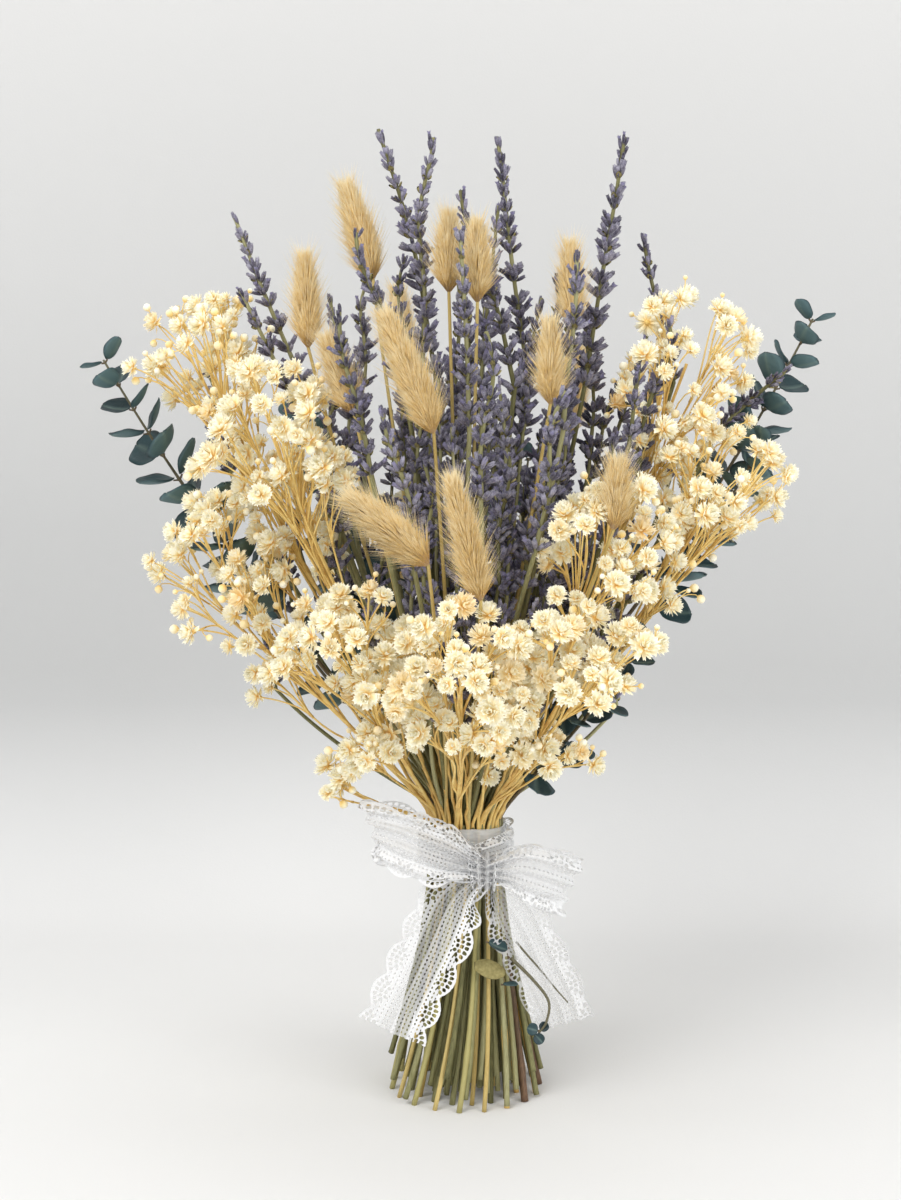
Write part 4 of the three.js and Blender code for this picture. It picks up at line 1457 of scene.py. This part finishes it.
    def build(self) -> None:
        """Builds one piece for each packed spray."""
        middle = self.bundle.axis()
        for index, crown in enumerate(GYPSOPHILA):
            name = f"gypsophila_{index + 1:02d}"
            if crown.wide < self.small_crown:
                low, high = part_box(name)
                head = np.array(low + high) / 2 / MM - middle
                neck = self.bundle.crossing(name, self.bundle.neck + 4) / self.small_widening
                top = np.append(head[:2] + np.array(self.small_shift), crown.height)
                stem = Stem(self.bundle, neck, top, 0)
            else:
                stem = self.bundle.stem(name, crown.height)
            piece = Piece(f"{name}_dried", "gypsophila", [GoldenStalk(), CreamPetal()])
            line = stem.run()
            girth = np.linspace(self.radius * 1.2, self.radius * 0.62, len(line))
            knots = 1 + 0.25 * np.exp(-((np.arange(len(line)) % 11 - 5) / 0.8) ** 2)
            foot = np.clip(1 - line[:, 2] / self.bundle.neck, 0, 0.25) * 4
            green = foot * (0.85 if line[0, 0] < middle[0] + 16 else 0.0)
            piece.add(tubes(line[None], girth * knots, 7, 0,
                            {"tone": self.rng.random(), "green": green}))
            self.spray(piece, stem, crown, index)
            if index in self.front_rows:
                self.fan(piece, index)
            piece.build([name])


@dataclass
class EucalyptusBranches:
    """The eucalyptus: woody stems with opposite pairs of round leaves."""

    bundle: Bundle
    rng: np.random.Generator
    radius: float = 1.15
    spacing: float = 1.9
    leafier: float = 1.3
    short_branch: float = 61.0
    short_size: float = 0.7
    steps: int = 13

    def leaf(self) -> Part:
        """A round cupped leaf with a sunken midrib and a wavy edge, 1 long on a short stalk."""
        u = np.linspace(0, 1, self.steps)[:, None]
        v = np.linspace(-1, 1, 9)[None, :]
        half = 0.5 * np.clip(1 - np.abs(2 * u - 1) ** 2.4, 0.02, 1) ** 0.5 * (0.94 + 0.1 * u)
        x = half * v
        cup = 0.55 * x ** 2 + 0.3 * (u - 0.5) ** 2 - 0.03 * np.exp(-(v / 0.18) ** 2)
        wave = 0.025 * np.sin(9 * u + 2 * np.sign(v)) * v ** 2
        top = np.stack([x, cup + wave, u + 0 * v], axis=-1)
        part = blade_body(top, top - np.array([0, 0.035, 0]), u + 0 * v)
        part.marks["rib"] = np.exp(-(part.points[:, 0] / 0.03) ** 2)
        return part

    def leaves(self, piece: Piece, places: Array, blades: Array, normals: Array,
               sizes: Array) -> None:
        """Sets leaves with their stalks.

        Args:
            piece: The piece that takes them.
            places: Where they join the stem.
            blades: Where they point.
            normals: Where their upper sides look.
            sizes: Their lengths.
        """
        rng = self.rng
        count = len(places)
        third = unit(blades)
        second = unit(normals - (normals * third).sum(axis=1, keepdims=True) * third)
        roll = rng.normal(0, 0.3, count)[:, None]
        first = np.cross(second, third)
        second = unit(np.cos(roll) * second + np.sin(roll) * first)
        first = np.cross(second, third)
        frames = np.stack([first, second, third], axis=1)
        stalk = 0.14 * sizes[:, None] * third
        piece.add(placed(self.leaf(), places + stalk, frames, sizes,
                         {"tone": rng.random(count)}, 1))
        paths = np.stack([places, places + 0.5 * stalk, places + 1.2 * stalk], axis=1)
        piece.add(tubes(paths, np.array([[0.5, 0.4, 0.34]]), 6, 0, {"along": 0.5}))

    def build(self) -> None:
        """Builds one piece for each packed branch."""
        for index, branch in enumerate(EUCALYPTUS):
            name = f"eucalyptus_{index + 1:02d}"
            stem = self.bundle.stem(name, branch.height)
            piece = Piece(f"{name}_dried", "eucalyptus", [Bark(), WaxyLeaf()])
            line = stem.run(60)
            total = length_of(line)
            share = np.linspace(0, 1, len(line))
            knobs = 1 + 0.22 * np.exp(-((np.arange(len(line)) % 9 - 4) / 0.9) ** 2)
            girth = (1.3 - 0.95 * share) * self.radius * knobs
            piece.add(tubes(line[None], girth, 8, 0, {"along": share}))
            leafy = branch.leafy * self.leafier
            pairs = round(leafy / (branch.leaf * self.spacing))
            step = np.arange(pairs + 1)
            where = 1 - leafy * (1 - step / pairs) / total - 0.004
            place, aim = along_path(line, where)
            turn = index * GOLDEN_TURN * 1.7 + step * (math.pi / 2 + 0.3)
            out = frames_along(aim, turn)[:, 0]
            size = 2 * branch.leaf * (1.65 - 0.75 * (step / pairs) ** 2)
            size = size * (self.short_size if branch.leafy < self.short_branch else 1.0)
            both = np.concatenate([out, -out])
            aims = np.tile(aim, (2, 1))
            blades = unit(both + 0.5 * aims + self.rng.normal(0, 0.12, both.shape))
            self.leaves(piece, np.tile(place, (2, 1)), blades, aims - 0.25 * both,
                        np.tile(size, 2) * self.rng.uniform(0.88, 1.1, 2 * len(size)))
            piece.build([name])


@dataclass
class LooseTwigs:
    """Fallen bits that hang among the lower stems: twigs, thin leaves and a curled leaf.

    Each row of leaves has its foot, its direction, its upper side's direction and its size.
    """

    bundle: Bundle
    rng: np.random.Generator
    girths: tuple = (0.75, 0.45)
    twigs: tuple = (
        ((17.9, -22, 61), (26.6, -25, 53), (32.7, -27, 45), (32, -28, 37), (28.9, -28, 32)),
        ((20, -20, 67), (25, -22, 61.5), (30.2, -24, 56), (35.3, -26, 50), (40.4, -28, 44.6)))
    leaves: tuple = (
        (8, -23, 68, 12, -1, -5, 0.4, -0.3, 0.9, 8),
        (14, -25, 51, 8, -1, 0, 0.1, -0.3, 0.9, 6),
        (29, -28, 33, -5, -2, 2, 0.3, -1, 0.6, 5),
        (27, -28, 32, 3, -1, -3, 0.3, -1, 0.6, 4.5),
        (29, -28, 33, 4, 1, 3, 0.3, -1, 0.6, 4))

    def build(self) -> None:
        """Builds the bits as one piece."""
        middle = self.bundle.axis()
        piece = Piece("loose_twigs", "eucalyptus", [Bark(), WaxyLeaf(), LavenderBract()])
        for corners, thick in zip(self.twigs, self.girths):
            path = smooth_run(np.array(corners, float), 30) + middle
            piece.add(tubes(path[None], np.linspace(thick, thick * 0.6, len(path)), 7, 0,
                            {"along": 1.0}))
        leafing = EucalyptusBranches(self.bundle, self.rng)
        rows = np.array(self.leaves, float)
        leafing.leaves(piece, rows[:, :3] + middle, rows[:, 3:6], rows[:, 6:9], rows[:, 9])
        u = np.linspace(0, 1, 16)[:, None]
        v = np.linspace(-1, 1, 9)[None, :]
        half = 5.0 * np.sin(np.pi * (0.06 + 0.9 * u)) ** 0.7
        roll = 1.5 * v
        curled = np.stack([3.3 + 12.6 * u + 0 * v, -26.0 + 2.4 * np.cos(roll) + 0 * u,
                           59 - 3 * u + half * np.sin(roll) * 0.8], axis=-1) + middle
        back = curled + np.array([0, 0.35, 0])
        shell = blade_body(curled, back, u + 0 * v)
        shell.finish = 2
        shell.marks["tone"] = np.full(len(shell.points), 0.4)
        piece.add(shell)
        piece.build([])


# ---- the ribbon and the tape --------------------------------------------
def smooth_run(corners: Array, steps: int) -> Array:
    """Runs a smooth curve through corners.

    Each stretch is the cubic through its two corners whose slopes there are half the step
    from the corner before to the corner after.

    Args:
        corners: The corners, (corners, 3).
        steps: Points on the curve.

    Returns:
        The curve, with points spaced evenly along it.
    """
    padded = np.concatenate([[2 * corners[0] - corners[1]], corners,
                             [2 * corners[-1] - corners[-2]]])
    place = np.linspace(0, len(corners) - 1 - 1e-9, 400)
    index = place.astype(int)
    t = (place - index)[:, None]
    before, first, second, after = (padded[index + shift] for shift in range(4))
    curve = 0.5 * (2 * first + (second - before) * t
                   + (2 * before - 5 * first + 4 * second - after) * t ** 2
                   + (3 * first - before - 3 * second + after) * t ** 3)
    return along_path(curve, np.linspace(0, 1, steps))[0]


class Held(Enum):
    """How a sheet is held."""

    GATHERED = "gathered"
    HUNG = "hung"


@dataclass(frozen=True)
class Galloon:
    """Lace scalloped on both edges: net down its middle, fans of holes towards the edges."""

    half: float = 16.02
    pitch: float = 14.4
    arc: float = 9.6
    rows: tuple = ((0.9, 2.8, 7, 0.68), (3.2, 5.0, 5, 0.7), (5.4, 7.0, 3, 0.72))
    fan_turn: float = 0.84
    mesh: float = 1.8
    hole: float = 0.52
    cell: float = 0.36

    def keeps(self, u: Array, v: Array) -> Array:
        """Says where there is thread.

        Each scallop is an arc of a circle. Rows of holes follow it inwards, each row having
        a first and a last distance from the edge, a number of holes and their half width.
        The rest is a net of rounded square holes, and a solid cord runs round the edge.

        Args:
            u: Places along the ribbon.
            v: Places across it, from its middle.

        Returns:
            True where there is thread.
        """
        aside = np.abs(v)
        offset = (u / self.pitch - np.floor(u / self.pitch) - 0.5) * self.pitch
        foot = self.half - self.arc
        radius = np.hypot(offset, aside - foot)
        turn = np.arctan2(offset, aside - foot)
        depth = self.arc - radius
        outside = (depth < 0) & (aside > foot)
        in_fan = (np.abs(turn) < self.fan_turn) & (depth < 7.4) & (aside > foot)
        fan = np.zeros(u.shape, bool)
        for first, last, count, wide in self.rows:
            order = (turn / self.fan_turn + 1) / 2 * count
            gap = np.abs(order - np.floor(order) - 0.5) * 2 * self.fan_turn / count * radius
            middle, reach = (first + last) / 2, (last - first) / 2
            fan |= (gap / wide) ** 3 + (np.abs(depth - middle) / reach) ** 3 < 1
        square = self.mesh * np.stack([u / self.mesh - np.floor(u / self.mesh) - 0.5,
                                       v / self.mesh - np.floor(v / self.mesh) - 0.5])
        net = (np.abs(square) ** 3).sum(axis=0) < self.hole ** 3
        net &= np.where(aside > foot, depth > 1.2, True)
        return ~outside & ~np.where(in_fan, fan, net)

    def cord(self, u: Array, v: Array) -> Array:
        """Says how thick the thread is: 1 in the edge and its fans and 0 in the net."""
        return np.clip((np.abs(v) - (self.half - self.arc)) / 1.5, 0, 1) + 0 * u

    def flat(self, start: float, length: float) -> tuple[Array, Array, Array, float]:
        """Cuts a length of lace as flat cells.

        The cells without thread are left out. The corners on a rim are then drawn halfway
        to the mean of their neighbours on it, twice, which rounds the holes.

        Args:
            start: Where the pattern starts.
            length: The length.

        Returns:
            Places along and across, the cells' corner numbers and the flat area.
        """
        rows, columns = round(length / self.cell), round(2 * self.half / self.cell)
        u = np.linspace(0, length, rows + 1)
        v = np.linspace(-self.half, self.half, columns + 1)
        middle_u, middle_v = np.meshgrid((np.arange(rows) + 0.5) * self.cell,
                                         (v[1:] + v[:-1]) / 2, indexing="ij")
        kept = self.keeps(middle_u + start, middle_v)
        framed = np.pad(kept, 1)
        grid = np.stack(np.meshgrid(u, v, indexing="ij"), axis=-1)
        along_rim = framed[1:-1, 1:] != framed[1:-1, :-1]
        across_rim = framed[1:, 1:-1] != framed[:-1, 1:-1]
        for _ in range(2):
            total = np.zeros_like(grid)
            count = np.zeros(grid.shape[:2])
            for rim, here, there in ((along_rim, np.s_[:-1, :], np.s_[1:, :]),
                                     (across_rim, np.s_[:, :-1], np.s_[:, 1:])):
                total[here] += rim[..., None] * grid[there]
                total[there] += rim[..., None] * grid[here]
                count[here] += rim
                count[there] += rim
            on_rim = count > 0
            grid[on_rim] = 0.5 * grid[on_rim] + 0.5 * total[on_rim] / count[on_rim][:, None]
        index = np.arange(grid.shape[0] * grid.shape[1]).reshape(grid.shape[:2])
        cells = np.stack([index[:-1, :-1], index[1:, :-1], index[1:, 1:], index[:-1, 1:]],
                         axis=-1)[kept]
        corners = grid.reshape(-1, 2)[cells]
        ahead = np.roll(corners, -1, axis=1)
        area = 0.5 * np.abs((corners[..., 0] * ahead[..., 1]
                             - ahead[..., 0] * corners[..., 1]).sum(axis=1)).sum()
        used, compact = np.unique(cells, return_inverse=True)
        places = grid.reshape(-1, 2)[used]
        return places[:, 0], places[:, 1], compact.reshape(-1, 4), float(area)


@dataclass(frozen=True)
class Run:
    """One run of the ribbon: corners from the knot, and how it is spread and creased."""

    name: str
    corners: tuple
    across: tuple
    gather: tuple
    held: Held
    crease_at: Optional[float] = None
    start: float = 0.0
    ripple: float = 0.6
    spread: float = 0.97
    sheer: float = 0.05


@dataclass
class LaceBow:
    """The lace ribbon: its wrap, a knot, two loops and two tails."""

    bundle: Bundle
    lace: Galloon = Galloon()
    knot: tuple = (8.0, -18.6, 95.0)
    pleat: float = 7.6
    gather_over: float = 26.0
    tuck_over: float = 2.4
    wrap_turns: float = 1.06
    wrap_radius: float = 17.4
    knot_length: float = 27.0
    runs: tuple = (
        Run("lace_left_loop", ((2, -1, 0), (-18, -9, 9), (-36, -13, 17), (-45, -8, 19),
                               (-36, -3, 16), (-18, -1.5, 8), (2, 1, 1)),
            (-0.3, -0.1, 1), (0.33, 0.33), Held.GATHERED, spread=0.84),
        Run("lace_right_loop", ((-2, -1, 0), (12, -8, 3), (25, -10, 0), (33, -6, -4),
                                (25, -2, -2), (12, 0, 1), (-2, 1, 0)),
            (0.3, -0.12, 1), (0.33, 0.33), Held.GATHERED, None, 5.4, spread=0.84),
        Run("lace_left_tail", ((1, -1, 1), (-12, -5, -8), (-22, -9, -28), (-33, -13, -50),
                               (-38, -14, -61)),
            (1, 0.15, -0.4), (0.34, 1.0), Held.HUNG, 0.0, 1.8, 0.5),
        Run("lace_right_tail", ((-1, 0, 1), (7, -2, -9), (18, -4, -30), (28, -6, -51),
                                (31, -7, -60)),
            (1, -0.15, 0.45), (0.3, 0.95), Held.HUNG, None, 9.0, 1.1, 0.85, 0.4))

    def finish_sheet(self, name: str, length: float, cut: tuple, points: Array,
                     sheer: Union[Array, float] = 0.0) -> None:
        """Builds one sheet of lace and logs its flat size and thread area.

        Args:
            name: The piece's name.
            length: Length of ribbon in it.
            cut: What Galloon.flat gave.
            points: Where the ribbon's points lie, in millimetres.
            sheer: How much fainter than the wrap it is.
        """
        u, v, cells, area = cut
        piece = Piece(name, "lace", [WhiteThread()])
        marks = {"cord": self.lace.cord(u, v), "sheer": sheer + 0 * u}
        piece.add(Part(points, [cells], marks=marks))
        sheet = piece.build(["lace_ribbon"])
        area * MM * MM
        log.info("%s: cut %.1f x %.1f mm, thread %.0f mm2", name, 2 * self.lace.half, length, area)

    def pleated(self, v: Array, spread: Array) -> Array:
        """Height of the pleats that take up the width lost to gathering.

        The pleats are a sine across the ribbon, as high as the missing width needs.

        Args:
            v: Places across the ribbon.
            spread: Share of the width that is left.

        Returns:
            The height.
        """
        lost = np.sqrt(np.clip(1 - spread ** 2, 0, 1))
        return 0.3 * self.pleat * lost * np.sin(2 * np.pi * v / self.pleat + 0.6)

    def run(self, run: Run) -> None:
        """Lays one run from the knot.

        The ribbon's width narrows to its gathers within reach of the knot and pleats
        there. A crease tucks what lies beyond it back under, and slow ripples run along it.

        Args:
            run: The run.
        """
        origin = self.bundle.axis() + np.array(self.knot)
        line = smooth_run(np.array(run.corners, float), 300) + origin
        length = length_of(line)
        cut = self.lace.flat(run.start, length)
        u, v, _, _ = cut
        place, aim = along_path(line, u / length)
        across = np.array(run.across, float)[None]
        side = unit(across - (across * aim).sum(axis=1, keepdims=True) * aim)
        normal = np.cross(aim, side)
        near = np.clip(u / self.gather_over, 0, 1)
        far = np.clip((length - u) / self.gather_over, 0, 1)
        near, far = eased(near), eased(far)
        spread = np.minimum(run.gather[0] + (1 - run.gather[0]) * near,
                            run.gather[1] + (1 - run.gather[1]) * far)
        spread = spread * run.spread
        width = v * spread
        ends = 1 - np.abs(2 * u / length - 1) ** 4
        height = self.pleated(v, spread) + run.ripple * np.sin(u / 6.5 + v / 5) * ends
        faint = run.sheer + 0 * u
        if run.crease_at is not None:
            beyond = np.clip(run.crease_at - v, 0, None)
            tucked = np.clip(beyond / self.tuck_over, 0, 1)
            tucked = eased(tucked) * near
            width = width + 2.6 * tucked
            height = height - 1.7 * tucked - 0.25 * beyond * near
            faint = faint + 0.35 * tucked
        points = place + side * width[:, None] + normal * height[:, None]
        self.finish_sheet(run.name, length, cut, points, faint)

    def wrap(self) -> None:
        """Wraps the ribbon round the neck, gathered into level pleats.

        The ribbon's width is drawn in and its pleats ride out from the sleeve,
        dipping towards the knot at the front.
        """
        length = 2 * math.pi * self.wrap_radius * self.wrap_turns
        cut = self.lace.flat(3.6, length)
        u, v, _, _ = cut
        turn = -math.pi / 2 + (u / length - 0.5) * 2 * math.pi * self.wrap_turns
        front = np.exp(-((np.abs(turn + math.pi / 2)) / 0.55) ** 2)
        spread = 0.54 - 0.16 * front
        lift = v * spread - 2.0 * front + 0.5 * np.sin(3 * turn)
        radius = (16.7 * self.bundle.widening(lift) + 0.5 * u / length
                  + 0.85 * (self.pleated(v, spread) + 1.3))
        middle = self.bundle.middle()
        points = np.stack([middle[0] + radius * np.cos(turn), middle[1] + radius * np.sin(turn),
                           self.bundle.neck - 0.4 + lift], axis=1)
        self.finish_sheet("lace_wrap", length, cut, points)

    def tie(self) -> None:
        """Ties the knot: a short run of ribbon rolled over it, its width drawn in."""
        length = self.knot_length
        cut = self.lace.flat(7.2, length)
        u, v, _, _ = cut
        turn = -math.pi / 2 + (u / length - 0.5) * 2 * math.pi * 0.86
        spread = 0.38 + 0.05 * np.cos(turn)
        bulge = 1.1 - 0.3 * (v / self.lace.half) ** 2
        puff = 0.8 * self.pleated(v, spread)
        deep = (3.6 + puff) * bulge
        tall = (6.2 + puff) * bulge
        origin = self.bundle.axis() + np.array(self.knot)
        points = origin + np.stack([v * spread * 1.1, deep * np.sin(turn) - 0.6,
                                    tall * np.cos(turn)], axis=1)
        self.finish_sheet("lace_knot", length, cut, points)

    def build(self) -> None:
        """Builds every sheet of the ribbon."""
        self.wrap()
        self.tie()
        for run in self.runs:
            self.run(run)


@dataclass
class ClearTape:
    """The sleeve of clear tape under the ribbon."""

    bundle: Bundle
    radius: float = 15.6
    thickness: float = 0.35
    half_height: float = 9.2
    around: int = 144
    levels: int = 18

    def build(self) -> None:
        """Builds the closed sleeve with creases that run up it.

        Its section goes up the outside and down the inside, and the radius follows the
        bundle with small sine creases.
        """
        around, levels = self.around, self.levels
        turn = 2 * np.pi * np.arange(around)[:, None] / around
        rise = np.linspace(-self.half_height, self.half_height, levels)
        loop = np.concatenate([rise, rise[::-1]])[None]
        skin = np.concatenate([np.full(levels, self.thickness), np.zeros(levels)])[None]
        crease = 0.22 * np.sin(11 * turn + 0.1 * loop) + 0.12 * np.sin(23 * turn - 0.2 * loop)
        radius = self.radius * self.bundle.widening(loop) + skin + crease
        middle = self.bundle.middle()
        height = self.bundle.neck + loop + 0.5 * np.sin(3 * turn)
        points = np.stack([middle[0] + radius * np.cos(turn), middle[1] + radius * np.sin(turn),
                           height], axis=-1)
        index = np.arange(around * 2 * levels).reshape(around, 2 * levels)
        side, up = np.roll(index, -1, axis=0), np.roll(index, -1, axis=1)
        quads = np.stack([index, side, np.roll(side, -1, axis=1), up], axis=-1).reshape(-1, 4)
        piece = Piece("clear_tape_sleeve", "clear_tape", [ClearFilm()])
        piece.add(Part(points.reshape(-1, 3), [quads]))
        piece.build(["binding_tape"])


# ---- the studio ---------------------------------------------------------
@dataclass
class Studio:
    """Floor and wall in one sweep of paper, soft lights and the camera."""

    bundle: Bundle
    distance: float = 0.78
    elevation: float = 8.0
    aim_off: tuple = (-6.0, -8.9, 202.5)
    frame_height: float = 0.472
    floor_back: float = 0.2
    bend: float = 0.12
    reach: float = 2.2
    front: float = -2.0
    air: tuple = (0.93, 0.96, 1.0, 1.0)
    air_strength: float = 0.51
    lights: tuple = (("key", (-0.75, -0.95, 1.35), 1.1, 17.8),
                     ("fill", (1.1, -1.0, 0.8), 1.2, 12),
                     ("top", (0.1, 0.35, 1.6), 1.0, 7.4))

    def aim(self) -> Vector:
        """Finds the point that the camera and the lights look at, in metres."""
        return Vector((self.bundle.axis() + np.array(self.aim_off)) * MM)

    def sweep(self) -> None:
        """Builds the paper: flat floor, a quarter round and a wall."""
        turn = np.linspace(0, math.pi / 2, 14)
        y = np.concatenate([[self.front], self.floor_back + self.bend * np.sin(turn),
                            [self.floor_back + self.bend]])
        z = np.concatenate([[0.0], self.bend * (1 - np.cos(turn)), [self.reach]])
        x = np.array([-self.reach, self.reach])
        points = np.stack([np.broadcast_to(x[:, None], (2, len(y))), np.tile(y, (2, 1)),
                           np.tile(z, (2, 1))], axis=-1).reshape(-1, 3)
        index = np.arange(len(points)).reshape(2, len(y))
        quads = np.stack([index[0, :-1], index[1, :-1], index[1, 1:], index[0, 1:]], axis=-1)
        mesh = bpy.data.meshes.new("studio_sweep")
        mesh.from_pydata(points.tolist(), [], quads.tolist())
        mesh.polygons.foreach_set("use_smooth", np.ones(len(quads), bool))
        mesh.materials.append(StudioPaper().material())
        sweep = bpy.data.objects.new("studio_sweep", mesh)
        bpy.context.scene.collection.objects.link(sweep)

    def light(self, name: str, place: tuple, size: float, power: float) -> None:
        """Hangs a square soft light that looks at the bunch."""
        lamp = bpy.data.lights.new(name, "AREA")
        lamp.size = size
        lamp.energy = power
        held = bpy.data.objects.new(name, lamp)
        held.location = place
        held.rotation_euler = (self.aim() - Vector(place)).to_track_quat("-Z", "Y").to_euler()
        bpy.context.scene.collection.objects.link(held)

    def camera(self) -> None:
        """Sets the camera in front, a little above the middle of the bunch."""
        lens = bpy.data.cameras.new("camera")
        lens.sensor_fit = "VERTICAL"
        lens.angle = 2 * math.atan(self.frame_height / 2 / self.distance)
        rise = math.radians(self.elevation)
        place = self.aim() + self.distance * Vector((0, -math.cos(rise), math.sin(rise)))
        eye = bpy.data.objects.new("camera", lens)
        eye.location = place
        eye.rotation_euler = (self.aim() - place).to_track_quat("-Z", "Y").to_euler()
        bpy.context.scene.collection.objects.link(eye)
        bpy.context.scene.camera = eye

    def build(self) -> None:
        """Builds the sweep, lights, camera and view settings."""
        self.sweep()
        for name, place, size, power in self.lights:
            self.light(name, place, size, power)
        world = bpy.data.worlds.new("studio_air")
        world.use_nodes = True
        air = world.node_tree.nodes["Background"]
        air.inputs["Color"].default_value = self.air
        air.inputs["Strength"].default_value = self.air_strength
        bpy.context.scene.world = world
        bpy.context.scene.view_settings.view_transform = "Standard"
        self.camera()


def main() -> None:
    """Builds the bunch and its studio."""
    logging.basicConfig(level=logging.INFO, format="%(message)s")
    bundle = Bundle()
    rng = np.random.default_rng(20)
    for plants in (LavenderField, BunnyTailGrass, GypsophilaSprays, EucalyptusBranches,
                   LooseTwigs):
        plants(bundle, rng).build()
    ClearTape(bundle).build()
    LaceBow(bundle).build()
    Studio(bundle).build()
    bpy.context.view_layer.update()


if __name__ == "__main__":
    main()
